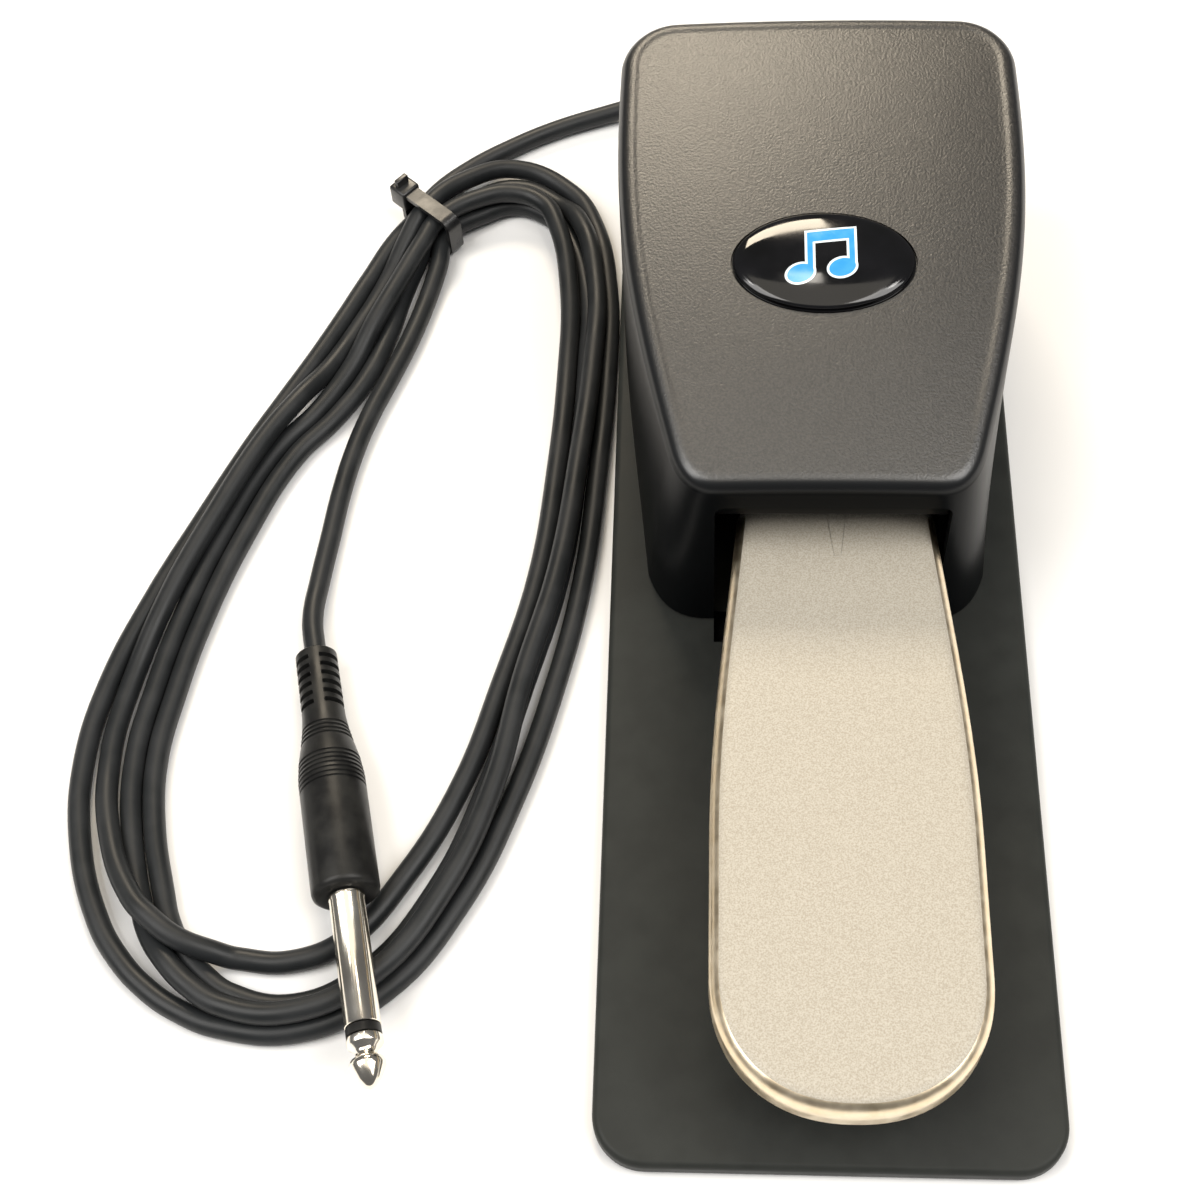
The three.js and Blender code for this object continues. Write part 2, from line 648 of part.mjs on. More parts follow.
function switchBracket() {
  const x = SWITCH_BRACKET_X;
  const upright = box(x - 1.5, x, SWITCH_FRONT, SWITCH_BACK, FLANGE_Z + GAP, 14);
  const flange = box(-13.4, x, SWITCH_FRONT, 54.5, FLANGE_Z + GAP, FLANGE_Z + 1.5);
  const holes = SWITCH_HOLES.map((y) => barX(1.3, x - 2, 0, y, SWITCH_HOLE_Z, 10));
  const slots = SWITCH_FLANGE_SCREWS.map(([sx, sy]) => post(1.5, sx, sy, 5, 12, 10));
  return cut(join(upright, flange), ...holes, ...slots).translate(MECH_X, 0, 0);
}

function terminal(z) {
  return box(-1.2, 1.2, 35.2, SWITCH_FRONT - GAP, z - 0.25, z + 0.25).translate(MECH_X, 0, 0);
}

// A switch wire: out to the left, back along the housing's side and in to the cord's inner end.
function leadWire(startZ, lane, rise) {
  const side = -20 - lane;
  const points = [
    [MECH_X - 1, 34.4, startZ], [MECH_X - 5, 34.4, startZ],
    [-12, 35, 9.5 + 2 * rise], [-18, 39, 8.5 + 2 * rise],
    [side, 46, 8 + 2 * rise], [side, 62, 8 + 2 * rise], [side, 76, 8 + 2 * rise],
    [side + 2, 86, 10 + 1.5 * rise], [-10, 91.2, 11.5 + rise], [0, 91.8, GLAND_Z + rise],
    [GLAND_X - 1, 92.8, GLAND_Z + rise], [GLAND_X, 94.6, GLAND_Z + rise],
  ];
  return tube(points, 0.6, 28, 5);
}

// ---- cord outlet ---------------------------------------------------------------------------------------
function strainRelief() {
  const profile = [
    [0, 0], [5.6, 0], [5.6, 1.4], [4, 1.4], [4, 5.5], [5.4, 5.5], [5.4, 7.3],
    [4.4, 7.7], [4, 10], [4.3, 10], [3.8, 12.3], [4, 12.3], [3.5, 14.6],
    [3.7, 14.6], [2.9, GLAND_TIP_Y - GLAND_FRONT_Y], [0, GLAND_TIP_Y - GLAND_FRONT_Y],
  ];
  return turned(profile, 12).rotateX(-Math.PI / 2).translate(GLAND_X, GLAND_FRONT_Y, GLAND_Z);
}

function cordClamp() {
  const top = GLAND_Z + CORD_R;
  const bar = box(-12, 12, -2.6, 2.6, 13.5 + GAP, top + 2.2);
  const saddle = barY(CORD_R + GAP, 0, GLAND_Z, -4, 4, 12);
  const holes = CLAMP_SCREWS.map((x) => post(1.7, x, 0, 10, 20, 10));
  return cut(bar, saddle, ...holes).translate(GLAND_X, CLAMP_Y, 0);
}

// ---- cord, coil and tie --------------------------------------------------------------------------------
// The bundle at the tie: its middle, the way the cord runs there, and the way across it.
const TIE = [-82.8, 98.2];
const TIE_ALONG = [-0.66, -0.75];
const BUNDLE_HALF = 4.4;          // from the bundle's middle to its outermost cord's axis
const BUNDLE_LAYER = 3.65;        // rise from the bundle's lower cords to its upper ones
const BUNDLE_LIFT = 1.4;          // the tie's strap passes under the bundle here
// The loops: the outermost cord (x, y), how far inside it the innermost one lies, and the middle and half
// width of the cords that ride on top of the others (a half width of 0 where there are none).
const LOOP_LINE = [
  [-91.2, 93.9, 7.9, 5.7, 4.3], [-95.9, 83.9, 8.9, 8.2, 2.3], [-105.5, 61.8, 12.7, 6.8, 2.1],
  [-115.7, 40.7, 9.7, 3.4, 2.1], [-124.2, 20.7, 9.8, 3.5, 2.1], [-131.8, 1.6, 11.7, 4, 2.1],
  [-137.4, -16.6, 13.7, 5, 0], [-139.6, -33.9, 14.1, 6, 0], [-137.6, -50.4, 14, 6.6, 0.6],
  [-131.6, -66.1, 12.6, 7.6, 2.1], [-121, -78.6, 11, 7.8, 4], [-106.3, -85.6, 12.6, 3, 2.1],
  [-92, -86, 13, 2.5, 2.1], [-77.6, -78.4, 11.5, 2.6, 2.1], [-65.6, -62.1, 11, 2.9, 2.1],
  [-57, -41.5, 10.3, 3.6, 2.1], [-50.6, -19, 10.2, 5.6, 2.1], [-45.8, 6, 9.1, 4.7, 2.1],
  [-43.6, 33, 8.6, 3.8, 2.1], [-42.5, 58, 8.6, 3.3, 2.1], [-42.9, 80, 8.5, 5.6, 5],
  [-46.8, 99.5, 8.6, 6.2, 4.6], [-52.4, 109, 8.8, 8.2, 2.6], [-64.6, 115.2, 10.2, 8.6, 3.4],
  [-75.4, 110.2, 8.8, 4, 5.6],
];
const BUNDLE_HIGH = 2 * CORD_R + BUNDLE_LAYER + BUNDLE_LIFT;

// A closed line in plan round the loops; `place` gives its distance inside the outermost cord's axis.
function coilRim(place) {
  return LOOP_LINE.map((station, i) => {
    const before = LOOP_LINE[(i + LOOP_LINE.length - 1) % LOOP_LINE.length];
    const after = LOOP_LINE[(i + 1) % LOOP_LINE.length];
    const along = new THREE.Vector2(after[0] - before[0], after[1] - before[1]).normalize();
    const inside = place(station);
    return new THREE.Vector2(station[0] - along.y * inside, station[1] + along.x * inside);
  });
}

function coilBand(outer, inner, low, high) {
  const ring = new THREE.Shape(coilRim(outer));
  ring.holes.push(new THREE.Path(coilRim(inner)));
  return slab(ring, low, high);
}

// The loops as a band of cords on the floor, a narrower one riding on it, and their tied bundle.
function coilSolid() {
  const floorBand = coilBand(() => -CORD_R, ([, , width]) => width + CORD_R, 0, CORD_DIAMETER);
  const from = ([, , , middle, half]) => middle - half - 0.05;
  const to = ([, , , middle, half]) => middle + half + 0.05;
  const topBand = coilBand(from, to, CORD_DIAMETER - 0.5, CORD_DIAMETER + BUNDLE_LAYER);
  const angle = Math.atan2(TIE_ALONG[1], TIE_ALONG[0]);
  const half = BUNDLE_HALF + CORD_R;
  const bundle = box(-7, 8, -half, half, 0, BUNDLE_HIGH);
  const strapWay = [
    box(-2.4, 2.4, -20, 20, -1, BUNDLE_LIFT),
    box(-2.4, 2.4, half, 20, -1, 20),
    box(-2.4, 2.4, -20, -half, -1, 20),
  ];
  for (const piece of [bundle, ...strapWay]) piece.rotateZ(angle).translate(TIE[0], TIE[1], 0);
  const joins = [LEAD_JOIN, TAIL_JOIN].map((route) => tube(route, CORD_R, 10));
  return cut(join(floorBand, topBand, bundle, ...joins), ...strapWay);
}

// The cable tie's strap is a flat loop round the bundle; its head sits on the outer side.
function cableTie() {
  const [width, thick] = [3.6, 1.1];
  const half = BUNDLE_HALF + CORD_R + GAP;
  const high = BUNDLE_HIGH + GAP;
  const outer = box(-width / 2, width / 2, -half - thick, half + thick, 0, high + thick);
  const hollow = box(-width, width, -half, half, thick, high);
  const head = box(-2.5, 2.5, -half - 3.6, -half, high - 3.6, high + 1.6);
  const tail = box(-1.6, 1.6, -half - 2.4, -half - 1.2, high + 1, high + 3.4);
  const angle = Math.atan2(TIE_ALONG[1], TIE_ALONG[0]);
  return join(cut(outer, hollow), head, tail).rotateZ(angle).translate(TIE[0], TIE[1], 0);
}

// From the strain relief, down behind the housing and round to the bundle.
const LEAD_ROUTE = [
  [GLAND_X, GLAND_TIP_Y + GAP, GLAND_Z], [GLAND_X - 0.2, 124, GLAND_Z], [4.2, 128.6, 11.7],
  [0.8, 132.8, 10.9], [-4.4, 135.8, 9.7], [-11.5, 137, 8.3], [-21, 137, 6.4], [-32, 135.6, 4.4],
  [-44, 132.8, 2.8], [-56, 128.6, 2.2], [-66.5, 122.8, 2.2],
];
const LEAD_JOIN = [[-66.8, 122.6, 2.2], [-76, 115.8, 2.4], [-83, 107.8, 3], [-86.1, 101.1, 3.5]];
// From the bundle to the plug's handle, inside the loops.
const TAIL_JOIN = [
  [-79.5, 95.3, 3.5], [-80.8, 86.8, 2.8], [-82.9, 77, 2.2], [-85.6, 66.6, 2.2], [-89, 56.4, 2.2],
  [-92.3, 46.8, 2.2],
];
const TAIL_ROUTE = [
  [-92.4, 46.5, 2.2], [-94.8, 37, 2.2], [-96.4, 27, 2.2], [-97.5, 16, 2.2], [-98.4, 6, 2.6],
  [-98.6, -3.5, 3.9], [-96.9, -12.1, 4.8],
];

// ---- plug ----------------------------------------------------------------------------------------------
const HANDLE_LENGTH = 53;
const SLEEVE_LENGTH = 25;
const RING_LENGTH = 1.5;

function plugHandle() {
  const body = turned([
    [0, 0], [4.1, 0], [4.1, 14.5], [4.4, 17.5], [5.8, 25], [6.2, 28.5],
    [6.2, HANDLE_LENGTH - 1], [5.6, HANDLE_LENGTH], [0, HANDLE_LENGTH],
  ], 14);
  const slots = [];
  for (let row = 0; row < 6; row += 1) {
    const z = 1.9 + row * 2.1;
    slots.push(box(1.1, 6, -6, 6, z, z + 1.05), box(-6, -1.1, -6, 6, z, z + 1.05));
  }
  const core = turned([[0, 0.1], [2.9, 0.1], [2.9, 15.2], [0, 15.2]], 8);
  return join(cut(body, ...slots), core);
}

function plugTip() {
  return turned([
    [0, 0], [3.175, 0], [3.175, 1.3], [1.95, 2.5], [1.95, 3.3], [3.15, 4.8], [2.9, 5.8], [0.4, 9.2], [0, 9.2],
  ], 12);
}

function addPlug() {
  const across = new THREE.Vector3(Math.cos(PLUG_TURN), Math.sin(PLUG_TURN), 0);
  const axis = new THREE.Vector3(Math.sin(PLUG_TURN), -Math.cos(PLUG_TURN), Math.tan(PLUG_RISE)).normalize();
  const up = new THREE.Vector3().crossVectors(axis, across);
  const plug = new THREE.Group();
  plug.quaternion.setFromRotationMatrix(new THREE.Matrix4().makeBasis(across, up, axis));
  plug.position.set(...PLUG_START);
  pedal.add(plug);
  add('plug_handle', plugHandle(), PVC, plug);
  const sleeveStart = HANDLE_LENGTH + GAP;
  const sleeve = turned([[0, 0], [3.175, 0], [3.175, SLEEVE_LENGTH], [0, SLEEVE_LENGTH]], 14);
  add('plug_sleeve', sleeve, NICKEL, plug).position.z = sleeveStart;
  const ringStart = sleeveStart + SLEEVE_LENGTH + GAP;
  const ring = turned([[0, 0], [3.1, 0], [3.1, RING_LENGTH], [0, RING_LENGTH]], 14);
  add('plug_insulator', ring, PVC, plug).position.z = ringStart;
  add('plug_tip', plugTip(), NICKEL, plug).position.z = ringStart + RING_LENGTH + GAP;
}

// ---- assembly --------------------------------------------------------------------------------------------
add('rubber_mat', rubberMat(), RUBBER);
add('base_plate', basePlate(), GREY_PLASTIC);
add('housing_shell', housingShell(), BLACK_PLASTIC);
placeOnRoof(add('badge_plate', badgePlate(), GLOSS_BLACK));
placeOnRoof(add('badge_dome', badgeDome(), GLOSS_BLACK));

add('pedal_lever', pedalLever(), NICKEL);
add('actuator_finger', actuatorFinger(), BLACK_PLASTIC);
add('spring_cap', springCap(), GREY_PLASTIC);
const rightBushing = add('bushing_right', bushing().rotateY(Math.PI / 2), BRASS);
rightBushing.position.set(MECH_X + ARM_HALF, PIVOT_Y, PIVOT_Z);
const leftBushing = add('bushing_left', bushing().rotateY(-Math.PI / 2), BRASS);
leftBushing.position.set(MECH_X - ARM_HALF, PIVOT_Y, PIVOT_Z);

add('pivot_bracket', pivotBracket(), STEEL);
add('pivot_pin', barX(2, MECH_X - 21, MECH_X + 21, PIVOT_Y, PIVOT_Z, 14), STEEL);
add('pin_clip_right', clip(MECH_X + EAR_OUT + GAP), STEEL);
add('pin_clip_left', clip(MECH_X - EAR_OUT - GAP - 0.8), STEEL);
add('spring_seat', springSeat(), GREY_PLASTIC);
add('return_spring', returnSpring(), STEEL);
add('rest_stop', rubberStop(REST_Y, 3.2, 17 + GAP, LEVER_TOP - LEVER_DEPTH - GAP), RUBBER);
add('down_stop', rubberStop(DOWN_Y, 3.7, 12 + GAP, RUBBER_TOP), RUBBER);

add('switch_body', switchBody(), BLACK_PLASTIC);
add('switch_button', switchButton(), RED_PVC);
add('switch_leaf', switchLeaf(), STEEL);
add('switch_bracket', switchBracket(), STEEL);
[9, 12.5, 16].forEach((z, i) => add(`switch_terminal_${i + 1}`, terminal(z), BRASS));
add('wire_signal', leadWire(16, 1, 0.9), RED_PVC);
add('wire_ground', leadWire(9, 0, -0.9), WHITE_PVC);

add('strain_relief', strainRelief(), PVC);
add('cord_inner', barY(CORD_R, GLAND_X, GLAND_Z, 95, GLAND_FRONT_Y - GAP, 12), PVC);
add('cord_clamp', cordClamp(), GREY_PLASTIC);

const baseScrew = screw(1.5, 13, 3, 1.9);
BASE_SCREWS.forEach(([x, y], i) => addScrew(`base_screw_${i + 1}`, baseScrew, x, y, 3.3 + 13, true));
const bracketScrew = screw(1.1, 7, 2.8, 1.8);
BRACKET_SCREWS.forEach(([x, y], i) => {
  addScrew(`bracket_screw_${i + 1}`, bracketScrew, x + MECH_X, y, BRACKET_FLOOR + 1.6 + GAP - 7);
});
const flangeScrew = screw(0.9, 5, 2.1, 1.2);
SWITCH_FLANGE_SCREWS.forEach(([x, y], i) => {
  addScrew(`flange_screw_${i + 1}`, flangeScrew, x + MECH_X, y, FLANGE_Z + 1.5 + GAP - 5);
});
const clampScrew = screw(1.1, 9, 2.6, 1.6);
CLAMP_SCREWS.forEach((x, i) => {
  addScrew(`clamp_screw_${i + 1}`, clampScrew, GLAND_X + x, CLAMP_Y, GLAND_Z + CORD_R + 2.2 + GAP - 9);
});
const switchScrew = screw(1, 8.6, 2, 1.2);
SWITCH_HOLES.forEach((y, i) => {
  const mesh = add(`switch_screw_${i + 1}`, switchScrew, STEEL);
  mesh.rotation.y = Math.PI / 2;
  mesh.position.set(MECH_X + SWITCH_HALF + GAP - 8.6, y, SWITCH_HOLE_Z);
});

add('cord_lead', tube(LEAD_ROUTE, CORD_R, 22), PVC);
add('cord_coil', coilSolid(), PVC);
add('cord_tail', tube(TAIL_ROUTE, CORD_R, 14), PVC);
add('cable_tie', cableTie(), PVC);
addPlug();

export default pedal;
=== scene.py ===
# The looks of a sustain pedal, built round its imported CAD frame. Pieces are drawn in millimetres and
# stored in metres. +X right, +Y towards the back, +Z up, the origin on the floor under the base.
import math

import bmesh
import bpy
from mathutils import Matrix, Vector


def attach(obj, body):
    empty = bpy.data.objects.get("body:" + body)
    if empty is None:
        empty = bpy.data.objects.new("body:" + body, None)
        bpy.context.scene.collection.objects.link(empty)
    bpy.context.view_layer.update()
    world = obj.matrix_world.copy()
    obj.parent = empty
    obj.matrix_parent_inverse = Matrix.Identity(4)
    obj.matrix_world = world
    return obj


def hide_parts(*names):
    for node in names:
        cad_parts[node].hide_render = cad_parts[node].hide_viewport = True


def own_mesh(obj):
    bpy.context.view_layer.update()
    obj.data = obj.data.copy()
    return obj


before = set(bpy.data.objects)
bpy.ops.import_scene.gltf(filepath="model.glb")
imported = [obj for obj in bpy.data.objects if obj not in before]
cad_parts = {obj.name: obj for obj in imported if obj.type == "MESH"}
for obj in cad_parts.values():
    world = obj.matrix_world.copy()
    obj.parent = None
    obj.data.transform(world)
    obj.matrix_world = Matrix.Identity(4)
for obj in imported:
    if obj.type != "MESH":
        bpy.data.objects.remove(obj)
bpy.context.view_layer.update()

MM = 0.001
GAP = 0.3                 # clearance between pieces that touch

# Housing
FOOT_Z = 5.3
WALL = 2.4
ROOF_FRONT, ROOF_RISE, ROOF_CROWN = 50, 9.5, 1.2
HOUSING_FOOT = dict(half=32.6, corner=10, front=-3.8, bulge=36.5, wide=39.3, back=107, back_corner=10)
HOUSING_TOP = dict(half=28, corner=8, front=-3.2, bulge=37.5, wide=38.4, back=102.5, back_corner=11)
ROOF_MIDDLE = (0, 52)
EDGE_ROLL = 2.7           # radius of the roof's rolled edge
LIP_DROP = 0.22           # the roof's panel lies this far below its rolled edge, but at the front
LIP_RUN = 1.3             # the dip's width
MOUTH_LEFT, MOUTH_RIGHT, MOUTH_TOP = -19.7, 22.3, 43.5
MOUTH_LIP = 38.4          # a thin lip hangs to this height, set back in the mouth's top

# Base
BASE_WIDTH, BASE_LENGTH, BASE_CORNER = 80, 218, 9
MAT_THICK, MAT_INSET = 1.2, 2
PLATE_BOTTOM, PLATE_TOP, PLATE_EDGE = 1.3, 5, 1.3
POCKET_FRONT, POCKET_BACK, POCKET_DEPTH = -8.8, -2, 2.6   # under the lever, at the mouth
BASE_SCREWS = [(-26, 10), (26, 10), (-33, 50), (33, 50), (-34, 90), (34, 90)]

# Lever and mechanism
MECH_X = 2.6
PIVOT_Y, PIVOT_Z, PIVOT_HOLE_R = 66, 22, 3.3
LEVER_TOP, LEVER_DEPTH, LEVER_SHEET, LEVER_ROLL = 31, 7, 2, 3
PAD_HALF, PAD_TIP_Y, PAD_NOSE = 23, -106.5, 23
NOSE_POWER = 0.9          # below 1 the nose is blunter than an ellipse
PAD_REAR = (18.2, 3.5)
ARM_HALF, ARM_END_Y = 15, 88
SPRING_Y, SPRING_LOW, SPRING_HIGH = 24, 7.6, 26.4
SPRING_RADIUS, SPRING_WIRE, SPRING_TURNS = 6, 0.8, 5.5
RIM_SLOPE = 0.87          # faces whose normal rises less than this belong to the bare rim
PAD_END_Y = 3             # the rim's bare metal ends here, at the mouth

# Badge
BADGE_Y, BADGE_HALF = 42, (16.4, 10.4)
BADGE_RIM, BADGE_RISE = 0.35, 1.6

# Cord and plug
CORD_R = 2.1
GLAND_X, GLAND_Z, GLAND_FRONT_Y, GLAND_TIP_Y = 6, 12, 101.8, 120
GLAND_HOLE_R = 4.3
TIE = Vector((-82.8, 98.2, 0))
TIE_ALONG = Vector((-0.66, -0.75, 0)).normalized()
BUNDLE_HALF, BUNDLE_LAYER, BUNDLE_LIFT, LOOPS = 4.4, 3.65, 1.4, 4
PLUG_START = Vector((-96.8, -12.4, 4.8))
PLUG_TURN, PLUG_RISE = 0.23, 0.095
HANDLE_LENGTH, SLEEVE_LENGTH, RING_LENGTH = 53, 25, 1.5
BARREL_R, GROOVE_DEPTH = 6.2, 0.28
SLOT_ROWS, SLOT_FIRST, SLOT_PITCH, SLOT_TALL, SLOT_REACH = 6, 1.9, 2.1, 1.05, 7

# Camera: its place in millimetres, its turn in degrees and its lens
CAMERA_PLACE = Vector((-20.2, -187.8, 325.4))
CAMERA_YAW, CAMERA_PITCH, CAMERA_ROLL = 6.6, 59.4, 5.4
CAMERA_LENS, CAMERA_SENSOR = 57, 36


# ---- materials --------------------------------------------------------------------------------------
def principled(name, color, roughness, metallic=0.0, **sockets):
    material = bpy.data.materials.new(name)
    material.use_nodes = True
    shader = material.node_tree.nodes["Principled BSDF"]
    values = {"Base Color": (*color, 1), "Roughness": roughness, "Metallic": metallic, **sockets}
    for socket, value in values.items():
        shader.inputs[socket].default_value = value
    return material


def shader_of(material):
    return material.node_tree.nodes["Principled BSDF"]


def noise(material, size, detail=2.0, stretch=(1, 1, 1)):
    """Noise whose lumps are about `size` millimetres across."""
    tree = material.node_tree
    place = tree.nodes.new("ShaderNodeTexCoord")
    scale = tree.nodes.new("ShaderNodeMapping")
    scale.inputs["Scale"].default_value = stretch
    texture = tree.nodes.new("ShaderNodeTexNoise")
    texture.inputs["Scale"].default_value = 1 / (size * MM)
    texture.inputs["Detail"].default_value = detail
    tree.links.new(place.outputs["Object"], scale.inputs["Vector"])
    tree.links.new(scale.outputs["Vector"], texture.inputs["Vector"])
    return texture.outputs["Fac"]


def spread(material, factor, low, high, start=0.35, end=0.65):
    """The factor's usual range, start to end, made into low to high."""
    tree = material.node_tree
    span = tree.nodes.new("ShaderNodeMapRange")
    for socket, value in zip(("From Min", "From Max", "To Min", "To Max"), (start, end, low, high)):
        span.inputs[socket].default_value = value
    tree.links.new(factor, span.inputs["Value"])
    return span.outputs["Result"]


def set_roughness(material, factor, low, high):
    roughness = spread(material, factor, low, high)
    material.node_tree.links.new(roughness, shader_of(material).inputs["Roughness"])


def set_tint(material, factor, dark, light):
    tree = material.node_tree
    mix = tree.nodes.new("ShaderNodeMix")
    mix.data_type = "RGBA"
    mix.inputs["A"].default_value = (*dark, 1)
    mix.inputs["B"].default_value = (*light, 1)
    tree.links.new(spread(material, factor, 0, 1), mix.inputs["Factor"])
    tree.links.new(mix.outputs["Result"], shader_of(material).inputs["Base Color"])


def set_bump(material, factor, depth, strength=1.0):
    tree = material.node_tree
    bump = tree.nodes.new("ShaderNodeBump")
    bump.inputs["Distance"].default_value = depth * MM
    bump.inputs["Strength"].default_value = strength
    tree.links.new(factor, bump.inputs["Height"])
    tree.links.new(bump.outputs["Normal"], shader_of(material).inputs["Normal"])
    return bump


def plain_surface(name, dark, light, rough, grain, depth, patch=6, metallic=0.0, **sockets):
    """A surface with soft patches of tint and gloss, and a fine grain."""
    middle = [(a + b) / 2 for a, b in zip(dark, light)]
    material = principled(name, middle, rough, metallic, **sockets)
    patches = noise(material, patch, 3)
    set_tint(material, patches, dark, light)
    set_roughness(material, patches, rough - 0.05, rough + 0.05)
    set_bump(material, noise(material, grain, 2), depth)
    return material


def housing_plastic():
    """Black ABS: leather-like grain on what faces up, smooth on the rolled edge and walls, whose colour is
    painted darker there as painted shade.
    """
    material = principled("housing_plastic", (0.02, 0.019, 0.018), 0.4)
    tree = material.node_tree
    grain = noise(material, 0.45, 5)
    set_tint(material, grain, (0.006, 0.0055, 0.005), (0.028, 0.026, 0.023))
    geometry = tree.nodes.new("ShaderNodeNewGeometry")
    parts = tree.nodes.new("ShaderNodeSeparateXYZ")
    tree.links.new(geometry.outputs["Normal"], parts.inputs["Vector"])
    upward = spread(material, parts.outputs["Z"], 0, 1, 0.8, 0.98)
    # painted shade: faces that don't face up, the walls and the rolled edge, take a darker colour than the
    # grained top
    grain_and_wall_shade = tree.nodes.new("ShaderNodeMix")
    grain_and_wall_shade.data_type = "RGBA"
    grain_and_wall_shade.inputs["A"].default_value = (0.004, 0.0045, 0.005, 1)
    tint = shader_of(material).inputs["Base Color"]
    tree.links.new(tint.links[0].from_socket, grain_and_wall_shade.inputs["B"])
    tree.links.new(upward, grain_and_wall_shade.inputs["Factor"])
    tree.links.new(grain_and_wall_shade.outputs["Result"], tint)
    bump = set_bump(material, grain, 0.1)
    tree.links.new(upward, bump.inputs["Strength"])
    roughness = spread(material, upward, 0.3, 0.37, 0, 1)
    tree.links.new(roughness, shader_of(material).inputs["Roughness"])
    gloss = spread(material, parts.outputs["Z"], 0.04, 0.9, 0.2, 0.97)
    tree.links.new(gloss, shader_of(material).inputs["Specular IOR Level"])
    return material


def pad_nickel():
    """Satin nickel plate with a fine sparkle: small facets tip the light and a few cells are brighter."""
    material = principled("pad_nickel", (0.41, 0.37, 0.3), 0.52, 0.15)
    sparkle = noise(material, 0.28, 5)
    set_tint(material, sparkle, (0.35, 0.312, 0.25), (0.48, 0.447, 0.38))
    set_roughness(material, noise(material, 9, 2), 0.5, 0.56)
    set_bump(material, sparkle, 0.02)
    return material


PLASTIC = housing_plastic()
BASE_PLASTIC = plain_surface("base_plastic", (0.0245, 0.026, 0.024), (0.0285, 0.0305, 0.028), 0.46, 0.5,
                             0.012, **{"Specular IOR Level": 0.13})
PAD = pad_nickel()
RIM = plain_surface("rim_nickel", (0.76, 0.62, 0.42), (0.88, 0.76, 0.57), 0.34, 0.6, 0.01, 3, 1.0)
NICKEL = plain_surface("nickel", (0.84, 0.77, 0.65), (0.92, 0.87, 0.77), 0.17, 3, 0.001, 12, 1.0)
STEEL = plain_surface("steel", (0.5, 0.5, 0.5), (0.66, 0.66, 0.64), 0.3, 0.5, 0.006, 2, 1.0)
SPRING_STEEL = plain_surface("spring_steel", (0.42, 0.42, 0.44), (0.58, 0.58, 0.6), 0.24, 0.5, 0.004, 2,
                             1.0)
BRASS = plain_surface("brass", (0.62, 0.43, 0.16), (0.78, 0.58, 0.27), 0.28, 0.6, 0.004, 2, 1.0)
# painted shade: a near-black colour with no reflection, given to the pocket under the lever where the
# lever's shade falls
PAINTED_POCKET_SHADE = plain_surface("painted_pocket_shade", (0.003, 0.003, 0.003), (0.005, 0.005, 0.005), 0.95, 0.5, 0.1,
                     **{"Specular IOR Level": 0})
RUBBER = plain_surface("rubber", (0.012, 0.012, 0.012), (0.022, 0.022, 0.021), 0.75, 0.7, 0.05)
CORD = plain_surface("cord_pvc", (0.013, 0.0145, 0.0155), (0.02, 0.0215, 0.023), 0.44, 0.4, 0.008, 8,
                     **{"Specular IOR Level": 0.3})
PLUG = plain_surface("plug_pvc", (0.010, 0.010, 0.010), (0.018, 0.018, 0.017), 0.36, 0.35, 0.008, 4,
                     **{"Specular IOR Level": 0.25})
NYLON = plain_surface("nylon", (0.012, 0.012, 0.013), (0.02, 0.02, 0.02), 0.32, 0.4, 0.006, 3)
BADGE = plain_surface("badge_gloss", (0.003, 0.003, 0.003), (0.005, 0.005, 0.006), 0.08, 4, 0.002, 9)
MARK_BLUE = plain_surface("mark_blue", (0.04, 0.29, 0.66), (0.055, 0.33, 0.72), 0.12, 4, 0.002, 2)
MARK_PALE = plain_surface("mark_pale", (0.72, 0.8, 0.86), (0.8, 0.87, 0.91), 0.12, 4, 0.002, 2)
RED = plain_surface("red_pvc", (0.38, 0.02, 0.015), (0.5, 0.04, 0.03), 0.42, 0.4, 0.006, 3)
WHITE = plain_surface("white_pvc", (0.6, 0.58, 0.53), (0.72, 0.7, 0.64), 0.42, 0.4, 0.006, 3)

CAD_MATERIALS = {
    "pivot_": STEEL, "pin_clip_": STEEL, "spring_": BASE_PLASTIC, "rest_stop": RUBBER, "down_stop": RUBBER,
    "switch_": STEEL, "switch_body": PLASTIC, "switch_button": RED, "switch_terminal_": BRASS,
    "switch_leaf": SPRING_STEEL, "wire_signal": RED, "wire_ground": WHITE, "cord_": CORD,
    "cord_clamp": BASE_PLASTIC, "bracket_": STEEL, "flange_": STEEL, "clamp_": STEEL,
    "actuator_finger": PLASTIC, "bushing_": BRASS,
}


def finish_cad_nodes():
    """Each CAD node takes the material of the longest name start that fits it."""
    for name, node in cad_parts.items():
        fits = [start for start in CAD_MATERIALS if name.startswith(start)]
        if fits:
            node.data.materials.clear()
            node.data.materials.append(CAD_MATERIALS[max(fits, key=len)])


# ---- mesh helpers -----------------------------------------------------------------------------------
def skin(mesh, rings):
    """Joins rings of equal count into a closed skin; the end rings are capped."""
    rows = [[mesh.verts.new(point) for point in ring] for ring in rings]
    count = len(rows[0])
    for low, high in zip(rows, rows[1:]):
        for i in range(count):
            j = (i + 1) % count
            mesh.faces.new((low[i], low[j], high[j], high[i]))
    mesh.faces.new(rows[0][::-1])
    mesh.faces.new(rows[-1])
    return mesh


def loft(*rings):
    return skin(bmesh.new(), rings)


def at_height(outline, z):
    return [(x, y, z) for x, y in outline]


def turned(profile, sides=64):
    """A closed piece turned about +Z from pairs of (radius, height), none on the axis."""
    def ring(radius, height):
        turns = [2 * math.pi * i / sides for i in range(sides)]
        return [(radius * math.cos(t), radius * math.sin(t), height) for t in turns]
    return loft(*[ring(radius, height) for radius, height in profile])


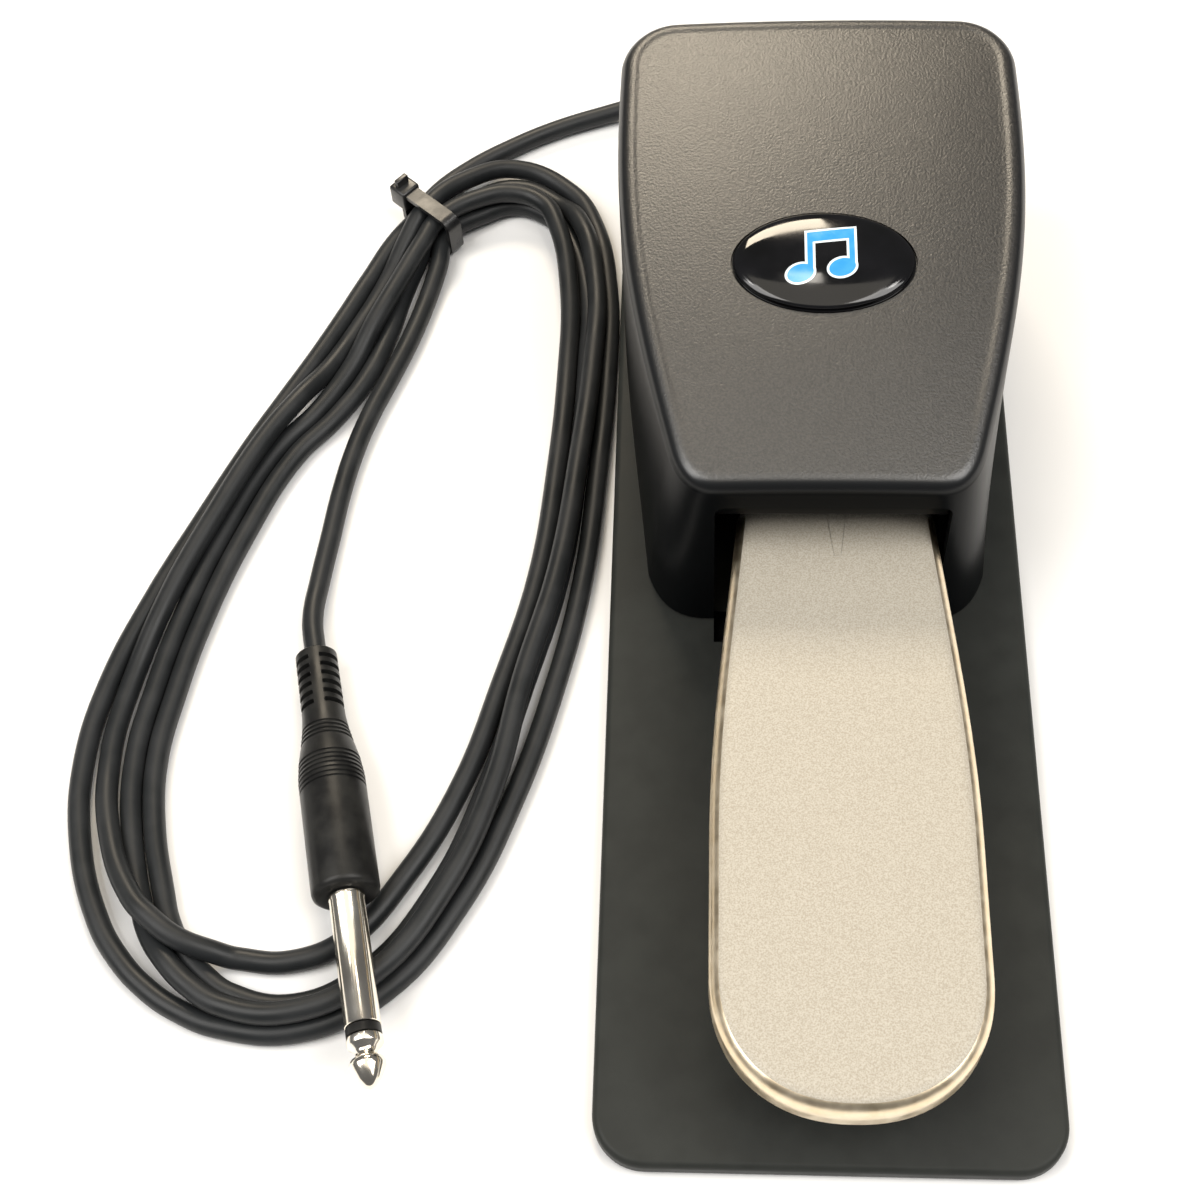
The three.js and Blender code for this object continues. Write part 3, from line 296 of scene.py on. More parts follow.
def block(low, high, radius=0.0):
    mesh = bmesh.new()
    bmesh.ops.create_cube(mesh, size=1)
    size = Vector(high) - Vector(low)
    middle = (Vector(high) + Vector(low)) / 2
    place = Matrix.Translation(middle) @ Matrix.Diagonal((*size, 1))
    bmesh.ops.transform(mesh, matrix=place, verts=mesh.verts)
    if radius:
        bmesh.ops.bevel(mesh, geom=mesh.edges[:], offset=radius, segments=3, affect="EDGES", profile=0.5)
    return mesh


def moved(mesh, matrix):
    bmesh.ops.transform(mesh, matrix=matrix, verts=mesh.verts)
    return mesh


def tube(points, radius, sides=12):
    """A round tube along the points, whose section doesn't twist."""
    line = [Vector(point) for point in points]
    side = Vector((0, 0, 1))
    rings = []
    for i, point in enumerate(line):
        along = (line[min(i + 1, len(line) - 1)] - line[max(i - 1, 0)]).normalized()
        side = (side - along * side.dot(along)).normalized()
        other = along.cross(side)
        turns = [2 * math.pi * k / sides for k in range(sides)]
        rings.append([point + radius * (math.cos(t) * side + math.sin(t) * other) for t in turns])
    return loft(*rings)


def piece(name, mesh, material, body="base", replaces=(), sharp=35):
    bmesh.ops.recalc_face_normals(mesh, faces=mesh.faces)
    data = bpy.data.meshes.new(name)
    mesh.to_mesh(data)
    mesh.free()
    data.transform(Matrix.Scale(MM, 4))
    obj = bpy.data.objects.new(name, data)
    bpy.context.scene.collection.objects.link(obj)
    data.materials.append(material)
    smooth(data, sharp)
    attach(obj, body)
    if replaces:
        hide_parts(*replaces)
    return obj


def smooth(data, sharp):
    for face in data.polygons:
        face.use_smooth = True
    data.set_sharp_from_angle(angle=math.radians(sharp))


def bake(obj, sharp=35):
    """Makes the modifiers' result the piece's own mesh."""
    bpy.context.view_layer.update()
    result = bpy.data.meshes.new_from_object(obj.evaluated_get(bpy.context.evaluated_depsgraph_get()))
    obj.modifiers.clear()
    obj.data = result
    smooth(result, sharp)


def combine(obj, tools, operation="DIFFERENCE", sharp=35):
    """Cuts the tools out of a piece, or joins them to it."""
    for tool in tools:
        bmesh.ops.recalc_face_normals(tool, faces=tool.faces)
        data = bpy.data.meshes.new("tool")
        tool.to_mesh(data)
        tool.free()
        data.transform(Matrix.Scale(MM, 4))
        helper = bpy.data.objects.new("tool", data)
        bpy.context.scene.collection.objects.link(helper)
        change = obj.modifiers.new("change", "BOOLEAN")
        change.operation = operation
        change.solver = "EXACT"
        change.object = helper
        bake(obj, sharp)
        bpy.data.objects.remove(helper)


# ---- outlines ---------------------------------------------------------------------------------------
def bezier(points, count):
    """Points on a cubic curve, without its last one."""
    a, b, c, d = [Vector(p) for p in points]
    line = []
    for i in range(count):
        t = i / count
        s = 1 - t
        line.append(a * s ** 3 + 3 * b * s * s * t + 3 * c * s * t * t + d * t ** 3)
    return line


def straight(a, b, count):
    return [Vector(a).lerp(Vector(b), i / count) for i in range(count)]


def mirrored(half):
    """The whole outline, anticlockwise, from its right half given front to back."""
    return half + [Vector((-p.x, p.y)) for p in half[-2:0:-1]]


def inset(outline, distance):
    count = len(outline)
    result = []
    for i, p in enumerate(outline):
        along = (outline[(i + 1) % count] - outline[i - 1]).normalized()
        result.append(p + distance * Vector((-along.y, along.x)))
    return result


def toward(outline, middle, factor):
    return [Vector(middle).lerp(p, factor) for p in outline]


def rounded_rect(width, length, radius, steps=12):
    outline = []
    for k, (sx, sy) in enumerate([(1, -1), (1, 1), (-1, 1), (-1, -1)]):
        centre = Vector((sx * (width / 2 - radius), sy * (length / 2 - radius)))
        for i in range(steps + 1):
            turn = (k - 1 + i / steps) * math.pi / 2
            outline.append(centre + radius * Vector((math.cos(turn), math.sin(turn))))
    return outline


def ellipse(half_x, half_y, count=96):
    turns = [2 * math.pi * i / count for i in range(count)]
    return [Vector((half_x * math.cos(t), half_y * math.sin(t))) for t in turns]


def quarter(steps):
    """Angles of a quarter turn, from 0 to 90 degrees."""
    return [math.pi / 2 * i / steps for i in range(steps + 1)]


# ---- camera -----------------------------------------------------------------------------------------
def add_camera():
    yaw, pitch, roll = (math.radians(turn) for turn in (CAMERA_YAW, CAMERA_PITCH, CAMERA_ROLL))
    forward = Vector(
        (-math.sin(yaw) * math.cos(pitch), math.cos(yaw) * math.cos(pitch), -math.sin(pitch)))
    level = Vector((math.cos(yaw), math.sin(yaw), 0))
    down = forward.cross(level)
    right = math.cos(roll) * level + math.sin(roll) * down
    up = math.sin(roll) * level - math.cos(roll) * down
    data = bpy.data.cameras.new("camera")
    data.lens, data.sensor_width = CAMERA_LENS, CAMERA_SENSOR
    camera = bpy.data.objects.new("camera", data)
    bpy.context.scene.collection.objects.link(camera)
    turn = Matrix((right, up, -forward)).transposed().to_4x4()
    camera.matrix_world = Matrix.Translation(CAMERA_PLACE * MM) @ turn
    bpy.context.scene.camera = camera


# ---- cord -------------------------------------------------------------------------------------------
# From the strain relief, down behind the housing and round to the tie.
LEAD_ROUTE = [
    (6, 120.3, 12), (5.8, 124, 12), (4.2, 128.6, 11.7), (0.8, 132.8, 10.9), (-4.4, 135.8, 9.7),
    (-11.5, 137, 8.3), (-21, 137, 6.4), (-32, 135.6, 4.4), (-44, 132.8, 2.8), (-56, 128.6, 2.2),
    (-66.5, 122.8, 2.2), (-76, 115.8, 2.4), (-83, 107.8, 3),
]
# One loop of the coil, from the tie round to it again. Each row: the outer cord's (x, y, height), then how
# far inside it the second, third and fourth turns lie and their heights.
# These numbers began as another program's output, and many were then moved.
LOOP_ROWS = [
    (-91.2, 93.9, 2.7, 3.5, 5.2, 7.9, 6.9, 7.0, 2.7), (-95.9, 83.9, 2.1, 4.3, 2.6, 8.4, 6.4, 8.9, 2.1),
    (-100.6, 72.8, 2.1, 4.3, 2.1, 8.4, 5.5, 11.3, 2.1), (-105.5, 61.8, 2.1, 4.2, 2.6, 8.4, 2.6, 12.7, 2.1),
    (-110.6, 51.3, 2.1, 4.0, 5.2, 7.7, 2.1, 12.0, 2.1), (-115.7, 40.7, 2.1, 3.4, 6.0, 5.4, 2.1, 9.7, 2.1),
    (-124.2, 20.7, 2.1, 3.5, 5.9, 5.4, 2.1, 9.8, 2.1), (-131.8, 1.6, 2.1, 3.9, 4.7, 7.4, 2.1, 11.7, 2.1),
    (-137.4, -16.6, 2.1, 4.5, 2.4, 9.4, 2.1, 13.7, 2.1), (-139.6, -33.9, 2.1, 5.0, 2.2, 9.8, 2.1, 14.1, 2.1),
    (-137.6, -50.4, 2.1, 6.0, 4.4, 9.7, 2.1, 14.0, 2.1), (-131.6, -66.1, 2.1, 7.4, 6.5, 8.3, 2.4, 12.6, 2.1),
    (-126.9, -72.9, 2.1, 8.5, 7.2, 6.9, 3.2, 11.0, 2.1), (-121, -78.6, 2.1, 9.7, 6.5, 5.7, 4.6, 9.3, 2.1),
    (-114, -82.9, 2.1, 11.5, 4.4, 4.2, 4.9, 7.6, 2.1), (-106.3, -85.6, 2.1, 12.6, 2.5, 3.0, 5.2, 6.1, 2.1),
    (-92, -86, 2.1, 13.0, 2.1, 2.5, 5.7, 4.8, 2.1), (-77.6, -78.4, 2.1, 12.2, 2.1, 2.6, 5.7, 4.9, 2.1),
    (-65.6, -62.1, 2.1, 11.6, 2.1, 2.9, 5.8, 5.0, 2.1), (-57, -41.5, 2.1, 10.3, 2.1, 3.6, 6.0, 5.5, 2.1),
    (-50.6, -19, 2.1, 10.2, 2.1, 5.6, 6.4, 5.9, 2.1), (-45.8, 6, 2.1, 9.1, 2.1, 4.7, 6.4, 4.8, 2.1),
    (-43.6, 33, 2.1, 8.6, 2.1, 3.8, 6.3, 4.3, 2.1), (-42.5, 58, 2.1, 8.6, 2.2, 3.0, 6.1, 4.4, 2.1),
    (-42.9, 80, 2.1, 8.5, 4.4, 2.6, 5.7, 4.8, 2.1), (-46.8, 99.5, 2.1, 8.6, 6.0, 3.4, 5.0, 6.8, 2.1),
    (-52.4, 109, 2.1, 8.8, 6.2, 4.6, 2.2, 8.6, 2.1), (-64.6, 115.2, 3.2, 10.2, 6.5, 4.9, 2.1, 10.2, 2.1),
    (-75.4, 110.2, 5.6, 7.6, 6.9, 3.9, 2.6, 8.8, 2.6),
]
# From the tie to the plug, inside the loops.
TAIL_ROUTE = [
    (-80.8, 86.8, 2.8), (-82.9, 77, 2.2), (-85.6, 66.6, 2.2), (-89, 56.4, 2.2), (-92.4, 46.5, 2.2),
    (-94.8, 37, 2.2), (-96.4, 27, 2.2), (-97.5, 16, 2.2), (-98.4, 6, 2.6), (-98.6, -3.5, 3.9),
    (-96.9, -12.1, 4.8),
]
# The tie's five passes of cord, in order: the share of its half width, and the layer.
TIE_PASSES = [(-1, 0), (-0.5, 1), (0.5, 1), (0, 0), (1, 0)]
HANDLE_SHARE = 0.39       # a spline handle's length, as a share of the way to the next point


def tie_point(turn):
    across = Vector((-TIE_ALONG.y, TIE_ALONG.x, 0))
    share, layer = TIE_PASSES[turn]
    point = TIE + across * share * BUNDLE_HALF
    point.z = CORD_R + BUNDLE_LIFT + layer * BUNDLE_LAYER
    return point


def loop_points(turn):
    points = []
    for i, row in enumerate(LOOP_ROWS):
        before = Vector(LOOP_ROWS[max(i - 1, 0)][:2])
        after = Vector(LOOP_ROWS[min(i + 1, len(LOOP_ROWS) - 1)][:2])
        along = (after - before).normalized()
        inward = Vector((-along.y, along.x))
        offset, height = (0, row[2]) if turn == 0 else row[2 * turn + 1:2 * turn + 3]
        place = Vector(row[:2]) + inward * offset
        points.append(Vector((place.x, place.y, height)))
    return points


def cord_points():
    points = [Vector(point) for point in LEAD_ROUTE]
    for turn in range(LOOPS):
        points.append(tie_point(turn))
        points.extend(loop_points(turn))
    points.append(tie_point(LOOPS))
    points.extend(Vector(point) for point in TAIL_ROUTE)
    return points


def add_cord():
    points = cord_points()
    data = bpy.data.curves.new("cord", "CURVE")
    data.dimensions = "3D"
    data.bevel_depth = CORD_R * MM
    data.bevel_resolution = 6
    data.resolution_u = 8
    data.use_fill_caps = True
    spline = data.splines.new("BEZIER")
    spline.bezier_points.add(len(points) - 1)
    for i, knot in enumerate(spline.bezier_points):
        point = points[i]
        before = point - points[max(i - 1, 0)]
        after = points[min(i + 1, len(points) - 1)] - point
        along = (before.normalized() + after.normalized()).normalized()
        # both handles stay above the floor, so the cord doesn't dip into it between two points
        steepest = max(0, point.z - CORD_R) / (HANDLE_SHARE * max(before.length, after.length))
        along.z = min(max(along.z, -steepest), steepest)
        knot.co = point * MM
        knot.handle_left_type = knot.handle_right_type = "FREE"
        knot.handle_left = (point - along * before.length * HANDLE_SHARE) * MM
        knot.handle_right = (point + along * after.length * HANDLE_SHARE) * MM
    data.materials.append(CORD)
    cord = bpy.data.objects.new("cord", data)
    bpy.context.scene.collection.objects.link(cord)
    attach(cord, "base")
    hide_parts("cord_lead", "cord_coil", "cord_tail")
    return cord


# ---- strain relief, tie and plug --------------------------------------------------------------------
def strain_relief():
    length = GLAND_TIP_Y - GLAND_FRONT_Y
    profile = [
        (0.4, 0), (5.4, 0), (5.6, 0.2), (5.6, 1.2), (5.4, 1.4), (4, 1.4), (4, 5.5), (5.2, 5.5), (5.4, 5.7),
    ]
    top, bottom = 4.7, 2.9
    rings = 6
    start, pitch = 7.2, 1.7
    for i in range(rings):
        z = start + i * pitch
        radius = top + (bottom - top) * i / rings
        profile += [(radius, z), (radius, z + 0.95), (radius - 0.9, z + 1.05), (radius - 0.9, z + 1.55)]
    profile += [(bottom, start + rings * pitch), (2.7, length), (0.4, length)]
    place = Matrix.Translation((GLAND_X, GLAND_FRONT_Y, GLAND_Z)) @ Matrix.Rotation(-math.pi / 2, 4, "X")
    return piece("strain_relief_moulding", moved(turned(profile, 40), place), PLUG,
                 replaces=["strain_relief"])


def tie_place():
    return Matrix.Translation(TIE) @ Matrix.Rotation(math.atan2(TIE_ALONG.y, TIE_ALONG.x), 4, "Z")


def cable_tie():
    """A flat strap round the bundle, a square head on its outer side and the cut tail."""
    width, thick = 3.6, 1.0
    half = BUNDLE_HALF + CORD_R + GAP
    high = tie_point(1).z + CORD_R + GAP
    low = 0.1
    outer = rounded_rect(2 * (half + thick), high + thick - low, 2.6, 8)
    inner = inset(outer, thick)
    middle = (high + thick + low) / 2

    def ring(outline, x):
        return [(x, p.x, p.y + middle) for p in outline]

    band = bmesh.new()
    section = [(inner, -width / 2), (outer, -width / 2), (outer, width / 2), (inner, width / 2)]
    rows = [[band.verts.new(p) for p in ring(outline, x)] for outline, x in section]
    for low_row, high_row in zip(rows, rows[1:] + rows[:1]):
        for i in range(len(low_row)):
            j = (i + 1) % len(low_row)
            band.faces.new((low_row[i], low_row[j], high_row[j], high_row[i]))
    strap = piece("tie_strap", moved(band, tie_place()), NYLON, replaces=["cable_tie"])
    head = block((-2.5, -half - 3.6, high - 3.6), (2.5, -half + 1.2, high + 1.6), 0.6)
    tail = block((-1.6, -half - 2.4, high + 1), (1.6, -half - 1.2, high + 3.4), 0.25)
    combine(strap, [moved(head, tie_place()), moved(tail, tie_place())], "UNION")
    return strap


def plug_place():
    across = Vector((math.cos(PLUG_TURN), math.sin(PLUG_TURN), 0))
    axis = Vector((math.sin(PLUG_TURN), -math.cos(PLUG_TURN), math.tan(PLUG_RISE))).normalized()
    turn = Matrix((across, axis.cross(across), axis)).transposed().to_4x4()
    return Matrix.Translation(PLUG_START) @ turn


def handle_profile():
    """Slim stem for the slots, a flare and a barrel, with two groups of fine grooves."""
    def radius(z):
        stations = [(0, 4.0), (14.5, 4.1), (17.5, 4.4), (21.5, 5.1), (25, 5.8), (28.5, BARREL_R),
                    (60, BARREL_R)]
        for (z0, r0), (z1, r1) in zip(stations, stations[1:]):
            if z <= z1:
                return r0 + (r1 - r0) * (z - z0) / (z1 - z0)
    profile = [(1.8, 0), (3.6, 0), (4.0, 0.4), (radius(14.5), 14.5), (radius(17), 17)]
    for start, count in [(17.6, 4), (25, 7)]:
        for i in range(count):
            z = start + i
            floor = radius(z) - GROOVE_DEPTH
            profile += [(radius(z), z), (floor, z + 0.15), (floor, z + 0.4), (radius(z), z + 0.55)]
        profile.append((radius(z + 1.2), z + 1.2))
    profile += [
        (BARREL_R, 34), (BARREL_R, HANDLE_LENGTH - 1.2), (6.05, HANDLE_LENGTH - 0.5),
        (5.6, HANDLE_LENGTH - 0.1),
        (5.2, HANDLE_LENGTH), (3.6, HANDLE_LENGTH),
    ]
    return profile


def plug_handle():
    place = plug_place()
    handle = piece("plug_grip", moved(turned(handle_profile(), 72), place), PLUG,
                   replaces=["plug_handle"], sharp=40)
    slots = []
    for row in range(SLOT_ROWS):
        z = SLOT_FIRST + row * SLOT_PITCH
        for side in (-1, 1):
            left, right = sorted((side, SLOT_REACH * side))
            slot = block((left, -SLOT_REACH, z), (right, SLOT_REACH, z + SLOT_TALL), 0.2)
            slots.append(moved(slot, place))
    combine(handle, slots, sharp=40)
    core = turned([(0.5, 0.2), (2.9, 0.2), (2.9, 15.2), (0.5, 15.2)], 32)
    piece("plug_core", moved(core, place), PLUG)
    return handle


def plug_metal():
    place = plug_place()
    sleeve = [
        (0.3, 0), (3.3, 0), (3.3, 0.7), (3.175, 0.9), (3.175, SLEEVE_LENGTH - 0.1), (3.05, SLEEVE_LENGTH),
        (0.3, SLEEVE_LENGTH),
    ]
    ring = [(0.3, 0), (3.1, 0), (3.1, RING_LENGTH), (0.3, RING_LENGTH)]
    tip = [
        (0.3, 0), (3.1, 0), (3.175, 0.1), (3.175, 1.2), (3.0, 1.5), (2.2, 2.2), (1.95, 2.7), (1.95, 3.2),
        (2.2, 3.6), (2.9, 4.1), (3.15, 4.6), (3.15, 5.2), (2.9, 5.8), (2.0, 7.6), (1.1, 8.7), (0.15, 9.2),
    ]
    start = HANDLE_LENGTH + GAP
    made = []
    for name, node, profile, material, slot, length in [
            ("plug_sleeve_metal", "plug_sleeve", sleeve, NICKEL, "nickel", SLEEVE_LENGTH),
            ("plug_ring", "plug_insulator", ring, PLUG, "black_pvc", RING_LENGTH),
            ("plug_point", "plug_tip", tip, NICKEL, "nickel", 0)]:
        mesh = moved(turned(profile, 64), place @ Matrix.Translation((0, 0, start)))
        made.append(piece(name, mesh, material, replaces=[node]))
        start += length + GAP
    return made


# ---- housing ----------------------------------------------------------------------------------------
def housing_outline(half, corner, front, bulge, wide, back, back_corner):
    pull = 0.55
    side_y, rear_y = front + corner, back - back_corner
    front_corner = [
        (half - corner - 1, front), (half - corner * (1 - pull), front),
        (half - 0.3 * corner * pull, side_y - corner * pull), (half, side_y),
    ]
    side = [(half, side_y), (bulge, side_y + 36), (wide + 0.8, rear_y - 34), (wide, rear_y)]
    rear_corner = [
        (wide, rear_y), (wide - 0.4, rear_y + back_corner * pull),
        (wide - back_corner * (1 - pull), back), (wide - back_corner, back),
    ]
    points = straight((0, front), (half - corner - 1, front), 8) + bezier(front_corner, 18)
    points += bezier(side, 40) + bezier(rear_corner, 18)
    points += straight((wide - back_corner, back), (0, back), 8)
    return mirrored(points + [Vector((0, back))])


def roof_height(p):
    front, back = HOUSING_TOP["front"], HOUSING_TOP["back"]
    along = (p[1] - front) / (back - front)
    across = p[0] / HOUSING_TOP["wide"]
    return ROOF_FRONT + ROOF_RISE * (1 - (1 - along) ** 2) - ROOF_CROWN * across ** 2


def front_fade(p):
    """0 along the roof's front edge, 1 a little way behind it."""
    return min(1, max(0, (p[1] - 3) / 14))


def housing_rings():
    foot, top = housing_outline(**HOUSING_FOOT), housing_outline(**HOUSING_TOP)
    rings = [at_height(inset(foot, 0.3), FOOT_Z)]
    steps = 12
    for i in range(steps + 1):
        up = i / steps
        low = FOOT_Z + 0.3
        rings.append([(*p.lerp(q, up), low + (roof_height(q) - EDGE_ROLL - low) * up)
                      for p, q in zip(foot, top)])
    for angle in quarter(8)[1:]:
        line = inset(top, EDGE_ROLL * (1 - math.cos(angle)))
        rings.append([(*p, roof_height(p) - EDGE_ROLL * (1 - math.sin(angle))) for p in line])
    # past the crest the surface dips to the panel in a short S-curve
    for step in (0.25, 0.5, 0.75, 1):
        line = inset(top, EDGE_ROLL + LIP_RUN * step)
        dip = LIP_DROP * (1 - math.cos(math.pi * step)) / 2
        rings.append([(*p, roof_height(p) - dip * front_fade(p)) for p in line])
    rim = inset(top, EDGE_ROLL + LIP_RUN)
    for factor in (0.97, 0.92, 0.85, 0.76, 0.66, 0.55, 0.44, 0.33, 0.22, 0.11, 0.02):
        dip = LIP_DROP * max(0, (factor - 0.66) / 0.34)
        line = toward(rim, ROOF_MIDDLE, factor)
        rings.append([(*p, roof_height(p) - dip * front_fade(p)) for p in line])
    return rings


def inner_rings():
    foot = inset(housing_outline(**HOUSING_FOOT), WALL)
    top = inset(housing_outline(**HOUSING_TOP), WALL)
    edge = 2
    rings = [at_height(foot, FOOT_Z)]
    rings.append([(*q, roof_height(q) - WALL - edge) for q in top])
    line = inset(top, edge)
    rings.append([(*q, roof_height(q) - WALL) for q in line])
    for factor in (0.7, 0.4, 0.02):
        rings.append([(*p, roof_height(p) - WALL) for p in toward(line, ROOF_MIDDLE, factor)])
    return rings


def on_roof():
    """The badge's frame: its middle on the roof, tilted as the roof is there."""
    rise = roof_height((0, BADGE_Y + 1)) - roof_height((0, BADGE_Y - 1))
    middle = Matrix.Translation((0, BADGE_Y, roof_height((0, BADGE_Y))))
    return middle @ Matrix.Rotation(math.atan2(rise, 2), 4, "X")


def badge_cutter():
    return moved(loft(at_height(ellipse(17, 11), -1), at_height(ellipse(17, 11), 6)), on_roof())


def mouth_cutter():
    outline = rounded_rect(MOUTH_RIGHT - MOUTH_LEFT, 2 * MOUTH_TOP, 2.5, 6)
    middle = (MOUTH_LEFT + MOUTH_RIGHT) / 2
    return loft(*[[(middle + p.x, y, p.y) for p in outline] for y in (-12, 0.6)])


def housing():
    shell = piece("housing_cover", loft(*inner_rings()[::-1], *housing_rings()), PLASTIC,
                  replaces=["housing_shell"], sharp=40)
    circle, radius = ellipse(1, 1, 40), GLAND_HOLE_R
    gland = loft(*[[(GLAND_X + radius * p.x, y, GLAND_Z + radius * p.y) for p in circle]
                   for y in (100, 112)])
    combine(shell, [mouth_cutter(), badge_cutter(), gland], sharp=40)
    lip = block((MOUTH_LEFT + 0.2, -1.4, MOUTH_LIP), (MOUTH_RIGHT - 0.2, 0.1, MOUTH_TOP + 1), 0.6)
    piece("housing_lip", lip, PLASTIC)
    for i, (x, y) in enumerate(BASE_SCREWS):
        hollow = turned([(1.8, FOOT_Z), (3.6, FOOT_Z), (3.6, 26), (0.2, 26), (0.2, 22), (1.8, 22)], 32)
        piece(f"housing_boss_{i + 1}", moved(hollow, Matrix.Translation((x, y, 0))), PLASTIC)


# ---- badge ------------------------------------------------------------------------------------------
def dome_height(x, y):
    share = 1 - (x / BADGE_HALF[0]) ** 2 - (y / BADGE_HALF[1]) ** 2
    return BADGE_RIM + BADGE_RISE * math.sqrt(max(0, share))


def badge():
    rings = [at_height(ellipse(*BADGE_HALF), 0), at_height(ellipse(*BADGE_HALF), BADGE_RIM)]
    for angle in quarter(14)[1:-1]:
        factor = math.cos(angle)
        rings.append(at_height(ellipse(BADGE_HALF[0] * factor, BADGE_HALF[1] * factor),
                               BADGE_RIM + BADGE_RISE * math.sin(angle)))
    piece("badge_lens", moved(loft(*rings), on_roof()), BADGE, replaces=["badge_dome"])
    plate = [at_height(ellipse(16.7, 10.7), z) for z in (-0.9, -0.2)]
    piece("badge_back", moved(loft(*plate), on_roof()), BADGE, replaces=["badge_plate"])


def note_shapes(grow):
    """Two beamed notes: round heads, stems and a beam, each grown by a margin."""
    shapes = []
    for x, y in [(-4.4, -3.6), (3.2, -2.4)]:
        turn = Matrix.Rotation(0.4, 2)
        shapes.append([Vector((x, y)) + turn @ p for p in ellipse(2.5 + grow, 1.8 + grow, 40)])
    for x, low, high in [(-2.6, -3.2, 4.2), (5.0, -2.0, 5.2)]:
        left, right = x - 0.5 - grow, x + 0.5 + grow
        shapes.append([(left, low), (right, low), (right, high), (left, high)])
    left, right = -3.1 - grow, 5.5 + grow
    shapes.append([(left, 3.0 - grow), (right, 4.1 - grow), (right, 6.3 + grow), (left, 5.2 + grow)])
    return shapes


def badge_mark():
    layers = [("mark_edge", MARK_PALE, 0.45, 0.02), ("mark_notes", MARK_BLUE, 0, 0.05)]
    for name, material, grow, lift in layers:
        for i, shape in enumerate(note_shapes(grow)):
            mesh = bmesh.new()
            mesh.faces.new([mesh.verts.new((p[0], p[1], 0)) for p in shape])
            bmesh.ops.triangulate(mesh, faces=mesh.faces)
            bmesh.ops.subdivide_edges(mesh, edges=mesh.edges[:], cuts=3, use_grid_fill=True)
            for vert in mesh.verts:
                vert.co.z = dome_height(vert.co.x, vert.co.y) + lift + 0.002 * i
            obj = piece(f"{name}_{i + 1}", moved(mesh, on_roof()), material,
                        sharp=60)
            thick = obj.modifiers.new("thick", "SOLIDIFY")
            thick.thickness, thick.offset = 0.1 * MM, -1
            bake(obj, 60)


# ---- base -------------------------------------------------------------------------------------------
def base():
    def outline(step):
        return rounded_rect(BASE_WIDTH - 2 * step, BASE_LENGTH - 2 * step, BASE_CORNER - step, 14)

    rings = [at_height(outline(0.5), PLATE_BOTTOM), at_height(outline(0), PLATE_BOTTOM + 0.5)]
    for angle in quarter(6):
        step = PLATE_EDGE * (1 - math.cos(angle))
        rings.append(at_height(outline(step), PLATE_TOP - PLATE_EDGE * (1 - math.sin(angle))))
    plate = piece("base_slab", loft(*rings), BASE_PLASTIC, replaces=["base_plate"])
    hole = [(3.6, 0), (3.6, 3.5), (1.9, 3.5), (1.9, 8)]
    holes = [moved(turned(hole, 32), Matrix.Translation((x, y, 0))) for x, y in BASE_SCREWS]
    pocket = block((MOUTH_LEFT, POCKET_FRONT, PLATE_TOP - POCKET_DEPTH),
                   (MOUTH_RIGHT, POCKET_BACK, PLATE_TOP + 2))
    combine(plate, [pocket, *holes])
    # the pocket's walls and floor are painted near black: painted shade under the lever
    plate.data.materials.append(PAINTED_POCKET_SHADE)
    for face in plate.data.polygons:
        x, y, z = (value / MM for value in face.center)
        in_plan = MOUTH_LEFT - 0.1 < x < MOUTH_RIGHT + 0.1 and POCKET_FRONT - 0.2 < y < POCKET_BACK + 0.1
        if in_plan and 2 < z < PLATE_TOP - 0.05:
            face.material_index = 1
    bosses = [
        ((MECH_X - 16, 80, 4.9), (MECH_X + 16, 87, 17)),
        ((MECH_X - 16, 1.5, 4.9), (MECH_X + 16, 9.5, 12)),
        ((GLAND_X - 4, 95.5, 4.9), (GLAND_X + 4, 101.5, 9.6)),
    ]
    for i, (low, high) in enumerate(bosses):
        piece(f"base_rest_{i + 1}", block(low, high, 0.4), BASE_PLASTIC)
    posts = [(MECH_X + x, y, 3.6, 10.7) for x in (-10, 10) for y in (63.4, 75)]
    posts += [(MECH_X - 10.5, y, 2.6, 8) for y in (41.5, 51)]
    posts += [(GLAND_X + x, 98.5, 3, 13.5) for x in (-9, 9)]
    for i, (x, y, radius, top) in enumerate(posts):
        profile = [(radius, 4.9), (radius, top - 0.3), (radius - 0.3, top), (0.3, top), (0.3, 4.9)]
        column = moved(turned(profile, 32), Matrix.Translation((x, y, 0)))
        piece(f"base_post_{i + 1}", column, BASE_PLASTIC)


def rubber_mat():
    def outline(step):
        inside = MAT_INSET + step
        return rounded_rect(BASE_WIDTH - 2 * inside, BASE_LENGTH - 2 * inside, BASE_CORNER - inside, 12)

    rings = [at_height(outline(0.3), 0), at_height(outline(0), 0.3), at_height(outline(0), MAT_THICK)]
    mat = piece("floor_mat", loft(*rings), RUBBER, replaces=["rubber_mat"])
    hole = [(3.8, -1), (3.8, 3)]
    holes = [moved(turned(hole, 40), Matrix.Translation((x, y, 0))) for x, y in BASE_SCREWS]
    combine(mat, holes)


def base_screws():
    """Each screw's tip is up in its boss and its cross-recessed head is under the base."""
    profile = [
        (0.2, 16.3), (1.5, 14.8), (1.5, 3.4), (3, 3.3), (3, 2.7), (2.6, 1.9), (1.8, 1.45), (0.2, 1.4),
    ]
    for i, (x, y) in enumerate(BASE_SCREWS):
        turned_screw = moved(turned(profile, 40), Matrix.Translation((x, y, 0)))
        screw = piece(f"screw_{i + 1}", turned_screw, STEEL, replaces=[f"base_screw_{i + 1}"])
        recess = [(1.8, 0.35), (0.35, 1.8)]
        arms = [block((x - dx, y - dy, 0), (x + dx, y + dy, 2.5)) for dx, dy in recess]
        combine(screw, arms)


